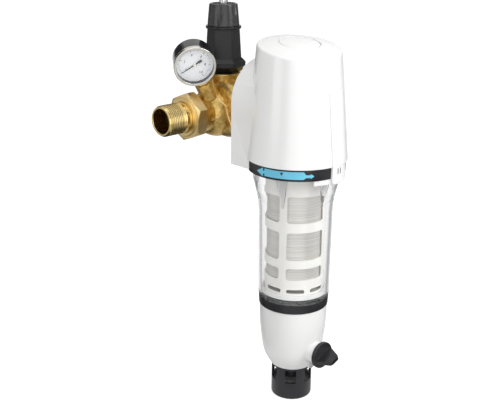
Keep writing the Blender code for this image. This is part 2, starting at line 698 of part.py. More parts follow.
def screw_places():
    for step in range(SCREW_COUNT):
        angle = math.pi / SCREW_COUNT + 2 * math.pi * step / SCREW_COUNT
        across, up = SCREW_CIRCLE_RADIUS * math.cos(angle), SCREW_CIRCLE_RADIUS * math.sin(angle)
        yield Matrix.Translation((across, 0, up))


def flange_plate(name, half_height, low, high):
    """A round plate with a flat above and below."""
    slope = math.degrees(math.asin(half_height / BODY_FLANGE_RADIUS))
    outline = arc((0, 0), BODY_FLANGE_RADIUS, -slope, slope, 10)
    outline += arc((0, 0), BODY_FLANGE_RADIUS, 180 - slope, 180 + slope, 10)
    return extruded(name, outline, low, high, FORWARD)


def slanted_hole(name, start, end, radius):
    start = Vector(start)
    run = Vector(end) - start
    frame = Matrix.Translation(start) @ run.to_track_quat("Z", "Y").to_matrix().to_4x4()
    return cylinder(name, radius, -OVERCUT, run.length, SEGMENTS_SMALL, frame)


def port_boss(name, frame):
    top = -BOSS_TOP_FROM_GAUGE
    return turned(name, [(0, top), (BOSS_CIRCUMRADIUS, top), (BOSS_CIRCUMRADIUS, top - BOSS_LENGTH),
                         (0, top - BOSS_LENGTH)], 6, frame, math.radians(15))


def mirrored(frame):
    """The same frame on the other side of the body, for the second gauge port."""
    turn = Matrix.Rotation(math.pi, 4, "Z")
    return turn @ frame


def connection_body(material):
    body = body_run()
    flange = flange_plate("flange", BODY_FLANGE_HALF_HEIGHT, -BODY_FLANGE_BACK_Y, -BODY_FLANGE_FRONT_Y)
    add(body, body_core(), chamber(), flange)
    for frame in (boss_frame(), mirrored(boss_frame())):
        add(body, port_boss("boss", frame))
        top = -BOSS_TOP_FROM_GAUGE
        cut(body, stepped("boss_bore", BOSS_BORE_RADIUS, PRESSURE_HOLE_RADIUS, top + OVERCUT,
                          top - BOSS_BORE_DEPTH, top - BOSS_LENGTH - PORT_BORE_RADIUS / 2, SEGMENTS_SMALL,
                          frame))
    bore_end = PASSAGE_OFFSET_X - PASSAGE_RADIUS / 2
    cut(body, cylinder("left_bore", PORT_BORE_RADIUS, bore_end, PORT_FACE_X + OVERCUT, SEGMENTS_MEDIUM,
                       LEFT),
        cylinder("right_bore", PORT_BORE_RADIUS, 0, PORT_FACE_X + OVERCUT, SEGMENTS_MEDIUM, RIGHT),
        cylinder("chamber_bore", CHAMBER_BORE_RADIUS, CHAMBER_FLOOR_Z, CHAMBER_MOUTH_Z + OVERCUT,
                 SEGMENTS_MEDIUM),
        cylinder("valve_port", VALVE_PORT_RADIUS, PORT_BORE_RADIUS / 2, CHAMBER_FLOOR_Z + OVERCUT,
                 SEGMENTS_SMALL),
        slanted_hole("raw", (-PASSAGE_OFFSET_X, BODY_FLANGE_FRONT_Y, 0), (-PASSAGE_OFFSET_X, 0, 0),
                     PASSAGE_RADIUS),
        slanted_hole("clean", (PASSAGE_OFFSET_X, BODY_FLANGE_FRONT_Y, 0), CLEAN_PASSAGE_END, PASSAGE_RADIUS))
    for place in screw_places():
        cut(body, cylinder("screw_hole", SCREW_SHANK_RADIUS + CLEARANCE, -BODY_FLANGE_BACK_Y - OVERCUT,
                           -BODY_FLANGE_FRONT_Y + OVERCUT, SEGMENTS_TINY, place @ FORWARD))
    return done(body, material, smooth_angle=32)


def flange_gasket(material):
    face = -BODY_FLANGE_FRONT_Y + CLEARANCE
    ring = tube("flange_gasket", FLANGE_GASKET_RADIUS, FLANGE_GASKET_RADIUS - FLANGE_GASKET_WIDTH,
                face + FLANGE_GASKET_THICKNESS, face, SEGMENTS_MEDIUM, FORWARD)
    return done(ring, material)


def flange_screws(material):
    seat = -BODY_FLANGE_BACK_Y - CLEARANCE
    tip = -HEAD_FLANGE_Y + SCREW_DEPTH_IN_HEAD
    profile = [(0, tip), (SCREW_SHANK_RADIUS, tip), (SCREW_SHANK_RADIUS, seat), (SCREW_HEAD_RADIUS, seat),
               (SCREW_HEAD_RADIUS, seat - SCREW_HEAD_LENGTH),
               (SCREW_SOCKET_RADIUS, seat - SCREW_HEAD_LENGTH),
               (SCREW_SOCKET_RADIUS, seat - SCREW_HEAD_LENGTH + SCREW_SOCKET_DEPTH),
               (0, seat - SCREW_HEAD_LENGTH + SCREW_SOCKET_DEPTH)]
    for number, place in enumerate(screw_places(), 1):
        done(turned("flange_screw_" + str(number), profile, SEGMENTS_TINY, place @ FORWARD), material)


def body_plug(material):
    """Hexagon plug with a short thread, in the second gauge port."""
    seat = CLEARANCE - BOSS_TOP_FROM_GAUGE
    edge = seat + PLUG_HEAD_HEIGHT
    frame = mirrored(boss_frame())
    profile = [(0, edge + PLUG_CROWN), (STEM_HEX_CIRCUMRADIUS, edge), (STEM_HEX_CIRCUMRADIUS, seat),
               (0, seat)]
    plug = turned("body_plug", profile, 6, frame)
    add(plug, cylinder("plug_thread", STEM_THREAD_RADIUS, seat - STEM_THREAD_LENGTH, seat + PLUG_CROWN,
                       SEGMENTS_SMALL, frame))
    return done(plug, material, smooth_angle=25)


def build_pipe_connection():
    brass = finish_material("cast_brass", (0.52, 0.36, 0.12), 0.38, 1.0)
    bright = finish_material("machined_brass", (0.72, 0.52, 0.20), 0.18, 1.0)
    fibre = finish_material("gasket_fibre", (0.30, 0.10, 0.07), 0.8)
    steel = finish_material("screw_steel", (0.60, 0.60, 0.62), 0.3, 1.0)
    connection_body(brass)
    for side, frame, turn in (("left", LEFT, -NUT_TURN), ("right", RIGHT, NUT_TURN)):
        union_nut("union_nut_" + side, frame, bright, turn)
        union_tail("union_tail_" + side, frame, bright)
        union_gasket("union_gasket_" + side, frame, fibre)
    flange_gasket(fibre)
    flange_screws(steel)
    body_plug(bright)


def reducer_bonnet(material):
    """Spring housing: a hexagon with a flared skirt, a round collar on top and a spigot below."""
    base = CHAMBER_BONNET_Z
    flats = [(0, BONNET_FLATS_TOP_Z), (BONNET_FLATS_TOP_RADIUS, BONNET_FLATS_TOP_Z),
             (BONNET_FLATS_LOW_RADIUS, BONNET_FLATS_LOW_Z), (BONNET_SKIRT_RADIUS, BONNET_SKIRT_HIGH_Z),
             (BONNET_SKIRT_RADIUS, BONNET_SKIRT_LOW_Z), (BONNET_BASE_RADIUS, base), (0, base)]
    bonnet = turned("reducer_bonnet", flats, 6, UP, BONNET_CORNER_TURN)
    low = BONNET_FLATS_TOP_Z - CLEARANCE
    add(bonnet, cylinder("collar", BONNET_COLLAR_RADIUS, low, BONNET_TOP_Z, SEGMENTS_LARGE))
    spigot = CHAMBER_BORE_RADIUS - CLEARANCE
    end = base - BONNET_SPIGOT_LENGTH
    add(bonnet, cylinder("spigot", spigot, end, base + OVERCUT, SEGMENTS_MEDIUM))
    roof = BONNET_TOP_Z - BONNET_ROOF_THICKNESS
    cut(bonnet, cylinder("spring_bore", BONNET_BORE_RADIUS, end - OVERCUT, roof, SEGMENTS_MEDIUM),
        cylinder("spindle_hole", SPINDLE_RADIUS + CLEARANCE, roof - OVERCUT, BONNET_TOP_Z + OVERCUT,
                 SEGMENTS_SMALL))
    return done(bonnet, material, smooth_angle=30)


def knob_scallop(turn):
    """A round-nosed cutter that leaves a pointed hollow in the knob's side."""
    radius = KNOB_SCALLOP_WIDTH ** 2 / (8 * KNOB_SCALLOP_DEPTH) + KNOB_SCALLOP_DEPTH / 2
    height = KNOB_TOP_Z - BONNET_TOP_Z
    slope = math.atan((KNOB_BASE_RADIUS - KNOB_TOP_RADIUS) / height)
    length = KNOB_TOP_Z - KNOB_SCALLOP_FOOT_Z
    profile = [(0, length + OVERCUT), (radius, length + OVERCUT), (radius, KNOB_SCALLOP_POINT),
               (radius - KNOB_SCALLOP_DEPTH - CLEARANCE, 0), (0, 0)]
    share = (KNOB_SCALLOP_FOOT_Z - BONNET_TOP_Z) / height
    side = KNOB_BASE_RADIUS + (KNOB_TOP_RADIUS - KNOB_BASE_RADIUS) * share
    reach = side + radius - KNOB_SCALLOP_DEPTH
    frame = (Matrix.Rotation(turn, 4, "Z") @ Matrix.Translation((reach, 0, KNOB_SCALLOP_FOOT_Z))
             @ Matrix.Rotation(-slope, 4, "Y"))
    return turned("scallop", profile, SEGMENTS_MEDIUM, frame)


def reducer_knob(material):
    base = BONNET_TOP_Z + CLEARANCE
    hole = SPINDLE_RADIUS + CLEARANCE
    dish = KNOB_TOP_Z - KNOB_DISH_DEPTH
    under = dish - KNOB_ROOF_THICKNESS
    edge = arc((KNOB_TOP_RADIUS - KNOB_EDGE_RADIUS, KNOB_TOP_Z - KNOB_EDGE_RADIUS), KNOB_EDGE_RADIUS, 90,
               0, 3)
    profile = [(hole, dish), (KNOB_DISH_RADIUS, dish), (KNOB_DISH_RADIUS + KNOB_DISH_DEPTH, KNOB_TOP_Z)]
    profile += edge + [(KNOB_BASE_RADIUS, base), (KNOB_BASE_RADIUS - KNOB_WALL, base),
                       (KNOB_TOP_RADIUS - 2 * KNOB_WALL, under), (KNOB_HUB_RADIUS, under),
                       (KNOB_HUB_RADIUS, base), (hole, base)]
    knob = turned("reducer_knob", profile, SEGMENTS_LARGE)
    for step in range(KNOB_SCALLOPS):
        cut(knob, knob_scallop(KNOB_SCALLOP_TURN + 2 * math.pi * step / KNOB_SCALLOPS))
    return done(knob, material, (0, 0, base), smooth_angle=28)


def reducer_spindle(material):
    seat = KNOB_TOP_Z - KNOB_DISH_DEPTH + CLEARANCE
    roof = BONNET_TOP_Z - BONNET_ROOF_THICKNESS - CLEARANCE
    bevel = SPINDLE_HEAD_RADIUS / 4
    profile = [(0, SPINDLE_HEAD_TOP_Z), (SPINDLE_HEAD_RADIUS - bevel, SPINDLE_HEAD_TOP_Z),
               (SPINDLE_HEAD_RADIUS, SPINDLE_HEAD_TOP_Z - bevel), (SPINDLE_HEAD_RADIUS, seat),
               (SPINDLE_RADIUS, seat), (SPINDLE_RADIUS, roof), (SPINDLE_HEAD_RADIUS, roof),
               (SPINDLE_HEAD_RADIUS, roof - SPINDLE_SHOULDER_HEIGHT),
               (SPINDLE_THREAD_RADIUS, roof - SPINDLE_SHOULDER_HEIGHT),
               (SPINDLE_THREAD_RADIUS, SPINDLE_END_Z),
               (0, SPINDLE_END_Z)]
    spindle = turned("reducer_spindle", profile, SEGMENTS_SMALL)
    return done(spindle, material, (0, 0, seat))


def spring_plate(material):
    plate = tube("spring_plate", BONNET_BORE_RADIUS - CLEARANCE, SPINDLE_THREAD_RADIUS + CLEARANCE,
                 SPRING_PLATE_Z + SPRING_PLATE_THICKNESS, SPRING_PLATE_Z, SEGMENTS_MEDIUM)
    return done(plate, material, (0, 0, SPRING_PLATE_Z))


def reducer_spring(material):
    spring = coil("reducer_spring", REDUCER_SPRING_RADIUS, REDUCER_SPRING_WIRE_RADIUS,
                  PISTON_TOP_Z + CLEARANCE,
                  SPRING_PLATE_Z - CLEARANCE, REDUCER_SPRING_TURNS, UP)
    return done(spring, material, smooth_angle=80)


def reducer_cartridge(material):
    top = CHAMBER_BONNET_Z - BONNET_SPIGOT_LENGTH - CLEARANCE
    floor = CHAMBER_FLOOR_Z + CLEARANCE
    outer = CHAMBER_BORE_RADIUS - CLEARANCE
    foot = VALVE_PORT_RADIUS - CLEARANCE
    profile = [(CARTRIDGE_BORE_RADIUS, top), (outer, top), (outer, floor), (foot, floor),
               (foot, floor - CARTRIDGE_FOOT_LENGTH), (CARTRIDGE_HOLE_RADIUS, floor - CARTRIDGE_FOOT_LENGTH),
               (CARTRIDGE_HOLE_RADIUS, floor + CARTRIDGE_FLOOR_THICKNESS),
               (CARTRIDGE_BORE_RADIUS, floor + CARTRIDGE_FLOOR_THICKNESS)]
    sleeve = turned("reducer_cartridge", profile, SEGMENTS_MEDIUM)
    height = (top + floor + CARTRIDGE_FLOOR_THICKNESS) / 2
    for step in range(CARTRIDGE_WINDOWS):
        turn = Matrix.Rotation(2 * math.pi * (step + 0.5) / CARTRIDGE_WINDOWS, 4, "Z")
        frame = turn @ Matrix.Translation((0, 0, height)) @ RIGHT
        cut(sleeve, cylinder("window", CARTRIDGE_WINDOW_RADIUS, CARTRIDGE_BORE_RADIUS / 2,
                             outer + OVERCUT, 12, frame))
    return done(sleeve, material)


def reducer_piston(material):
    """Piston and valve disc on one stem. It rises by its travel to close on the cartridge's foot."""
    head = CARTRIDGE_BORE_RADIUS - PISTON_CLEARANCE
    seat = CHAMBER_FLOOR_Z + CLEARANCE - CARTRIDGE_FOOT_LENGTH
    disc_top = seat - CLEARANCE - PISTON_TRAVEL
    under_head = PISTON_TOP_Z - PISTON_HEAD_HEIGHT
    profile = [(0, PISTON_TOP_Z), (head, PISTON_TOP_Z), (head, under_head), (PISTON_STEM_RADIUS, under_head),
               (PISTON_STEM_RADIUS, disc_top), (PISTON_DISC_RADIUS, disc_top),
               (PISTON_DISC_RADIUS, disc_top - PISTON_DISC_HEIGHT), (0, disc_top - PISTON_DISC_HEIGHT)]
    return done(turned("reducer_piston", profile, SEGMENTS_MEDIUM), material, (0, 0, disc_top))


def build_reducer():
    black = finish_material("bonnet_black", (0.022, 0.023, 0.026), 0.45)
    grey = finish_material("knob_grey", (0.12, 0.12, 0.13), 0.35)
    steel = finish_material("spring_steel", (0.55, 0.55, 0.56), 0.3, 1.0)
    brass = finish_material("valve_brass", (0.70, 0.52, 0.22), 0.25, 1.0)
    plastic = finish_material("cartridge_plastic", (0.75, 0.74, 0.70), 0.5)
    reducer_bonnet(black)
    reducer_knob(grey)
    reducer_spindle(steel)
    spring_plate(steel)
    reducer_spring(steel)
    reducer_cartridge(plastic)
    reducer_piston(brass)


def gauge_levels():
    """Heights along the gauge's own axis: back, front, dial face and bezel back."""
    front = GAUGE_CASE_DEPTH / 2
    return -front, front, front - DIAL_RECESS, front - BEZEL_DEPTH


def gauge_case(material):
    back, front, dial, bezel = gauge_levels()
    inner = GAUGE_CASE_RADIUS - GAUGE_CASE_WALL
    rim = front - 2 * GAUGE_CASE_WALL
    edge = arc((GAUGE_CASE_RADIUS - GAUGE_EDGE_RADIUS, back + GAUGE_EDGE_RADIUS), GAUGE_EDGE_RADIUS, 0,
               -90, 3)
    profile = [(inner, rim), (GAUGE_CASE_RADIUS, rim)] + edge
    profile += [(0, back), (0, back + GAUGE_CASE_WALL), (inner, back + GAUGE_CASE_WALL)]
    case = turned("gauge_case", profile, SEGMENTS_MEDIUM, gauge_frame())
    hole = STEM_NECK_RADIUS + CLEARANCE
    cut(case, cylinder("stem_hole", hole, -GAUGE_CASE_RADIUS - OVERCUT, -GAUGE_CASE_RADIUS / 2,
                       SEGMENTS_SMALL, boss_frame()))
    return done(case, material)


def gauge_bezel(material):
    back, front, dial, bezel = gauge_levels()
    inner = GAUGE_CASE_RADIUS + CLEARANCE
    lip = GAUGE_CASE_RADIUS - BEZEL_LIP + CLEARANCE
    lip_back = front - GAUGE_CASE_WALL / 2
    bevel = GAUGE_CASE_WALL / 2
    profile = [(lip, front), (BEZEL_RADIUS - bevel, front), (BEZEL_RADIUS, front - bevel),
               (BEZEL_RADIUS, bezel),
               (inner, bezel), (inner, lip_back), (lip, lip_back)]
    return done(turned("gauge_bezel", profile, SEGMENTS_MEDIUM, gauge_frame()), material)


def gauge_lens(material):
    back, front, dial, bezel = gauge_levels()
    top = front - GAUGE_CASE_WALL / 2 - CLEARANCE
    low = front - 2 * GAUGE_CASE_WALL + CLEARANCE
    lens = cylinder("gauge_lens", GAUGE_CASE_RADIUS, low, top, SEGMENTS_MEDIUM, gauge_frame())
    return done(lens, material)


def gauge_dial(material):
    back, front, dial, bezel = gauge_levels()
    radius = GAUGE_CASE_RADIUS - GAUGE_CASE_WALL - CLEARANCE
    disc = tube("gauge_dial", radius, GAUGE_ARBOR_RADIUS + CLEARANCE, dial, dial - DIAL_THICKNESS,
                SEGMENTS_MEDIUM, gauge_frame())
    return done(disc, material)


def gauge_movement(material):
    """The block inside the case that carries the needle's arbor."""
    back, front, dial, bezel = gauge_levels()
    top = dial - DIAL_THICKNESS - MOVEMENT_GAP
    low = back + GAUGE_CASE_WALL + CLEARANCE
    block_piece = cylinder("gauge_movement", MOVEMENT_RADIUS, low, top, SEGMENTS_SMALL, gauge_frame())
    hole = GAUGE_ARBOR_RADIUS + CLEARANCE
    cut(block_piece, cylinder("arbor_hole", hole, low / 2, top + OVERCUT, SEGMENTS_TINY, gauge_frame()))
    return done(block_piece, material)


def gauge_needle(material):
    """Flat pointer with a counterweight tail and a round hub, drawn at its rest angle."""
    back, front, dial, bezel = gauge_levels()
    low = dial + NEEDLE_LIFT
    aim = math.pi / 2 + NEEDLE_REST
    turn = gauge_frame() @ Matrix.Rotation(aim, 4, "Z")
    wide = NEEDLE_HALF_WIDTH
    outline = [(NEEDLE_LENGTH, wide / 4), (0, wide), (-NEEDLE_TAIL, wide), (-NEEDLE_TAIL, -wide),
               (0, -wide), (NEEDLE_LENGTH, -wide / 4)]
    needle = extruded("gauge_needle", outline, low, low + NEEDLE_THICKNESS, turn)
    add(needle, cylinder("hub", NEEDLE_HUB_RADIUS, low, low + NEEDLE_HUB_HEIGHT, SEGMENTS_SMALL, turn))
    return done(needle, material, GAUGE_CENTRE)


def gauge_arbor(material):
    back, front, dial, bezel = gauge_levels()
    low = (back + GAUGE_CASE_WALL + CLEARANCE) / 2 + CLEARANCE
    arbor = cylinder("gauge_arbor", GAUGE_ARBOR_RADIUS, low, dial + NEEDLE_LIFT - CLEARANCE,
                     SEGMENTS_TINY, gauge_frame())
    return done(arbor, material, GAUGE_CENTRE)


def gauge_stem(material):
    """Neck into the case, hexagon and thread, all on the boss's axis."""
    top = -BEZEL_RADIUS - CLEARANCE
    low = -BOSS_TOP_FROM_GAUGE + CLEARANCE
    stem = turned("gauge_stem", [(0, top), (STEM_HEX_CIRCUMRADIUS, top), (STEM_HEX_CIRCUMRADIUS, low),
                                 (0, low)],
                  6, boss_frame(), math.radians(15))
    neck_end = -MOVEMENT_RADIUS - CLEARANCE
    add(stem, cylinder("stem_neck", STEM_NECK_RADIUS, top - CLEARANCE, neck_end, SEGMENTS_SMALL,
                       boss_frame()),
        cylinder("stem_thread", STEM_THREAD_RADIUS, low - STEM_THREAD_LENGTH, low + CLEARANCE,
                 SEGMENTS_SMALL, boss_frame()))
    return done(stem, material, smooth_angle=25)


def build_gauge():
    case = finish_material("case_black", (0.03, 0.03, 0.035), 0.15)
    chrome = finish_material("bezel_chrome", (0.80, 0.80, 0.78), 0.08, 1.0)
    clear = finish_material("lens_clear", (0.95, 0.97, 0.97), 0.02)
    white = finish_material("dial_white", (0.90, 0.90, 0.90), 0.5)
    black = finish_material("needle_black", (0.02, 0.02, 0.02), 0.4)
    brass = finish_material("stem_brass", (0.70, 0.50, 0.20), 0.25, 1.0)
    gauge_case(case)
    gauge_bezel(chrome)
    gauge_lens(clear)
    gauge_dial(white)
    gauge_movement(brass)
    gauge_needle(black)
    gauge_arbor(brass)
    gauge_stem(brass)


def hood_radius(z):
    share = (z - HOOD_RIM_Z) / (HOOD_TOP_Z - HOOD_RIM_Z)
    return HOOD_RIM_RADIUS + (HOOD_TOP_RADIUS - HOOD_RIM_RADIUS) * share


def filter_head(material):
    """Carries the hood, lock ring, bowl and insert. Raw water fills the ring round its stub."""
    collar_low = LOCK_RING_TOP_Z + CLEARANCE
    collar_top = -BODY_FLANGE_HALF_HEIGHT - CLEARANCE
    collar = hood_radius(collar_top) - HOOD_WALL - CLEARANCE
    stub_end = CAGE_TOP_Z + CLEARANCE
    profile = [(0, HEAD_TOP_Z), (HEAD_RADIUS - HEAD_EDGE_CHAMFER, HEAD_TOP_Z),
               (HEAD_RADIUS, HEAD_TOP_Z - HEAD_EDGE_CHAMFER), (HEAD_RADIUS, collar_top),
               (collar, collar_top),
               (collar, collar_low), (HEAD_SKIRT_RADIUS, collar_low), (HEAD_SKIRT_RADIUS, HEAD_SKIRT_END_Z),
               (HEAD_SOCKET_RADIUS, HEAD_SKIRT_END_Z), (HEAD_SOCKET_RADIUS, HEAD_SOCKET_ROOF_Z),
               (HEAD_ANNULUS_RADIUS, HEAD_SOCKET_ROOF_Z), (HEAD_ANNULUS_RADIUS, HEAD_ANNULUS_ROOF_Z),
               (HEAD_STUB_RADIUS, HEAD_ANNULUS_ROOF_Z), (HEAD_STUB_RADIUS, stub_end),
               (HEAD_STUB_BORE_RADIUS, stub_end), (HEAD_STUB_BORE_RADIUS, 0), (0, 0)]
    head = turned("filter_head", profile, SEGMENTS_LARGE, FILTER)
    face = -HEAD_FLANGE_Y
    core = -FILTER_Y
    add(head, flange_plate("head_flange", BODY_FLANGE_HALF_HEIGHT + 2 * CLEARANCE, face,
                           face + HEAD_FLANGE_THICKNESS),
        cylinder("head_neck", HEAD_NECK_RADIUS, face + CLEARANCE, core - HEAD_STUB_RADIUS,
                 SEGMENTS_MEDIUM, FORWARD))
    drop_y = FILTER_Y + HEAD_ANNULUS_RADIUS - HEAD_RAW_DROP_INSET
    cut(head, slanted_hole("raw", (-PASSAGE_OFFSET_X, HEAD_FLANGE_Y, 0),
                           (-PASSAGE_OFFSET_X, drop_y, 0), PASSAGE_RADIUS),
        slanted_hole("drop", (-PASSAGE_OFFSET_X, drop_y, HEAD_ANNULUS_ROOF_Z),
                     (-PASSAGE_OFFSET_X, drop_y, 0),
                     PASSAGE_RADIUS),
        slanted_hole("clean", (PASSAGE_OFFSET_X, HEAD_FLANGE_Y, 0), (PASSAGE_OFFSET_X, FILTER_Y, 0),
                     PASSAGE_RADIUS))
    for place in screw_places():
        cut(head, cylinder("screw_hole", SCREW_SHANK_RADIUS + CLEARANCE, face - OVERCUT,
                           face + SCREW_DEPTH_IN_HEAD + OVERCUT, SEGMENTS_TINY, place @ FORWARD))
    return done(head, material)


def hood_crown(radius, crown):
    """Height of the domed top at a radius, over the plane of its edge."""
    edge = HOOD_TOP_RADIUS - HOOD_EDGE_RADIUS
    return HOOD_TOP_Z + crown * (1 - (radius / edge) ** 2)


def slope_top(item):
    """Tips the hood's top towards the front while its rim stays level."""
    for point in item.data.vertices:
        share = (point.co.z - HOOD_RIM_Z) / (HOOD_TOP_Z - HOOD_RIM_Z)
        point.co.z += HOOD_TOP_SLOPE * (point.co.y - FILTER_Y) * share
    return item


def hood_form(name, offset, top, crown, low):
    """The hood's closed outer form, moved out by an offset."""
    edge = HOOD_TOP_RADIUS - HOOD_EDGE_RADIUS
    profile = [(0, top + crown)]
    rings = 4
    for step in range(1, rings):
        radius = edge * step / rings
        profile.append((radius, top + crown * (1 - (step / rings) ** 2)))
    profile += arc((edge + offset, top - HOOD_EDGE_RADIUS), HOOD_EDGE_RADIUS, 90, 0, 3)
    profile += [(hood_radius(low) + offset, low), (0, low)]
    return slope_top(turned(name, profile, SEGMENTS_LARGE, FILTER))


def arch(name, half_width, low, back_y, front_y):
    outline = [(half_width, low)]
    outline += arc((0, COWL_ARCH_Z), half_width, 0, 180, 16)
    outline.append((-half_width, low))
    return extruded(name, outline, -back_y, -front_y, FORWARD)


def hood_strip():
    """Raised strip down the hood's front."""
    strip = hood_form("strip", STRIP_RAISE, HOOD_TOP_Z, 0, HOOD_RIM_Z + CLEARANCE)
    outline = [(-STRIP_HALF_WIDTH, HOOD_RIM_Z - OVERCUT), (STRIP_HALF_WIDTH, HOOD_RIM_Z - OVERCUT)]
    outline += arc((0, STRIP_TOP_Z - STRIP_HALF_WIDTH / 3), STRIP_HALF_WIDTH, 25, 155, 6)
    window = extruded("strip_outline", outline, -FILTER_Y + HOOD_TOP_RADIUS / 2,
                      -FILTER_Y + 2 * HOOD_RIM_RADIUS, FORWARD)
    return combine(strip, window, "INTERSECT")


def hood_tongue():
    """Tongue that hangs from the strip over the lock ring."""
    outer = HOOD_RIM_RADIUS + STRIP_RAISE - CLEARANCE
    inner = LOCK_RING_RADIUS + CLEARANCE
    top = HOOD_RIM_Z + HOOD_WALL
    profile = [(inner, top), (outer, top), (outer, TONGUE_BOTTOM_Z), (inner, TONGUE_BOTTOM_Z)]
    tongue = turned("tongue", profile, SEGMENTS_LARGE, FILTER, math.pi / SEGMENTS_LARGE)
    round_z = TONGUE_BOTTOM_Z + TONGUE_CORNER_RADIUS
    inset = TONGUE_HALF_WIDTH - TONGUE_CORNER_RADIUS
    outline = [(TONGUE_HALF_WIDTH, top + OVERCUT), (-TONGUE_HALF_WIDTH, top + OVERCUT)]
    outline += arc((-inset, round_z), TONGUE_CORNER_RADIUS, 180, 270, 4)
    outline += arc((inset, round_z), TONGUE_CORNER_RADIUS, 270, 360, 4)
    window = extruded("tongue_outline", outline, -FILTER_Y, -FILTER_Y + 2 * HOOD_RIM_RADIUS, FORWARD)
    return combine(tongue, window, "INTERSECT")


def button_levels():
    floor = hood_crown(HOOD_BUTTON_RADIUS, HOOD_CROWN) - HOOD_BUTTON_RECESS
    return floor, HOOD_BUTTON_RADIUS + 2 * CLEARANCE


def hood(material):
    """White cover: a tapered shell with a sloping domed top, joined to the cowl over the flange."""
    shell = hood_form("hood", 0, HOOD_TOP_Z, HOOD_CROWN, HOOD_RIM_Z)
    cowl = arch("cowl", COWL_HALF_WIDTH, COWL_BOTTOM_Z, COWL_BACK_Y, FILTER_Y)
    room = LOCK_RING_RADIUS + 2 * CLEARANCE
    cut(cowl, cylinder("ring_room", room, COWL_BOTTOM_Z - OVERCUT, HOOD_RIM_Z, SEGMENTS_LARGE, FILTER))
    add(shell, cowl, hood_strip())
    inner_top = HOOD_TOP_Z - HOOD_WALL
    inner_crown = HOOD_CROWN - HOOD_WALL
    cavity = hood_form("cavity", -HOOD_WALL, inner_top, inner_crown, HOOD_RIM_Z - OVERCUT)
    inside = COWL_HALF_WIDTH - HOOD_WALL
    cut(shell, cavity,
        arch("cowl_room", inside, COWL_BOTTOM_Z - OVERCUT, COWL_BACK_Y + OVERCUT, FILTER_Y + HOOD_WALL))
    add(shell, hood_tongue())
    floor, recess = button_levels()
    cut(shell, slope_top(cylinder("recess", recess, floor, HOOD_TOP_Z + 2 * HOOD_CROWN, SEGMENTS_LARGE,
                                  FILTER)))
    return done(shell, material, (0, FILTER_Y, HOOD_RIM_Z), smooth_angle=35)


def hood_button(material):
    floor, recess = button_levels()
    edge = hood_crown(HOOD_BUTTON_RADIUS, HOOD_CROWN) - CLEARANCE
    middle = hood_crown(0, HOOD_CROWN) - CLEARANCE
    half = hood_crown(HOOD_BUTTON_RADIUS / 2, HOOD_CROWN) - CLEARANCE
    profile = [(0, middle), (HOOD_BUTTON_RADIUS / 2, half), (HOOD_BUTTON_RADIUS, edge),
               (HOOD_BUTTON_RADIUS, floor + CLEARANCE), (0, floor + CLEARANCE)]
    button = slope_top(turned("hood_button", profile, SEGMENTS_LARGE, FILTER))
    return done(button, material, (0, FILTER_Y, floor))


def lock_ring(material):
    profile = [(LOCK_RING_BORE_RADIUS, LOCK_RING_TOP_Z), (LOCK_RING_RADIUS, LOCK_RING_TOP_Z),
               (LOCK_RING_RADIUS, LOCK_RING_BOTTOM_Z), (LOCK_RING_LIP_RADIUS, LOCK_RING_BOTTOM_Z),
               (LOCK_RING_LIP_RADIUS, LOCK_RING_LIP_TOP_Z), (LOCK_RING_BORE_RADIUS, LOCK_RING_LIP_TOP_Z)]
    ring = turned("lock_ring", profile, SEGMENTS_LARGE, FILTER)
    return done(ring, material, (0, FILTER_Y, LOCK_RING_TOP_Z))


def groove(radius, socket, middle, section):
    """Profile points of a seal groove in an outer wall, from the top down."""
    half = section + CLEARANCE
    floor = socket - 2 * half
    return [(radius, middle + half), (floor, middle + half), (floor, middle - half), (radius, middle - half)]


def round_seal(name, outer, middle, section, material, frame=FILTER):
    """A ring seal of round section, by its outer radius and height."""
    ring = turned(name, arc((outer - section, middle), section, 0, 288, 4), SEGMENTS_LARGE, frame)
    return done(ring, material, smooth_angle=60)


def upper_seal_z():
    return (BOWL_SPIGOT_TOP_Z + BOWL_FLANGE_TOP_Z) / 2


def lower_seal_z():
    return (HOUSING_TOP_Z + BOWL_LOWER_SPIGOT_END_Z) / 2


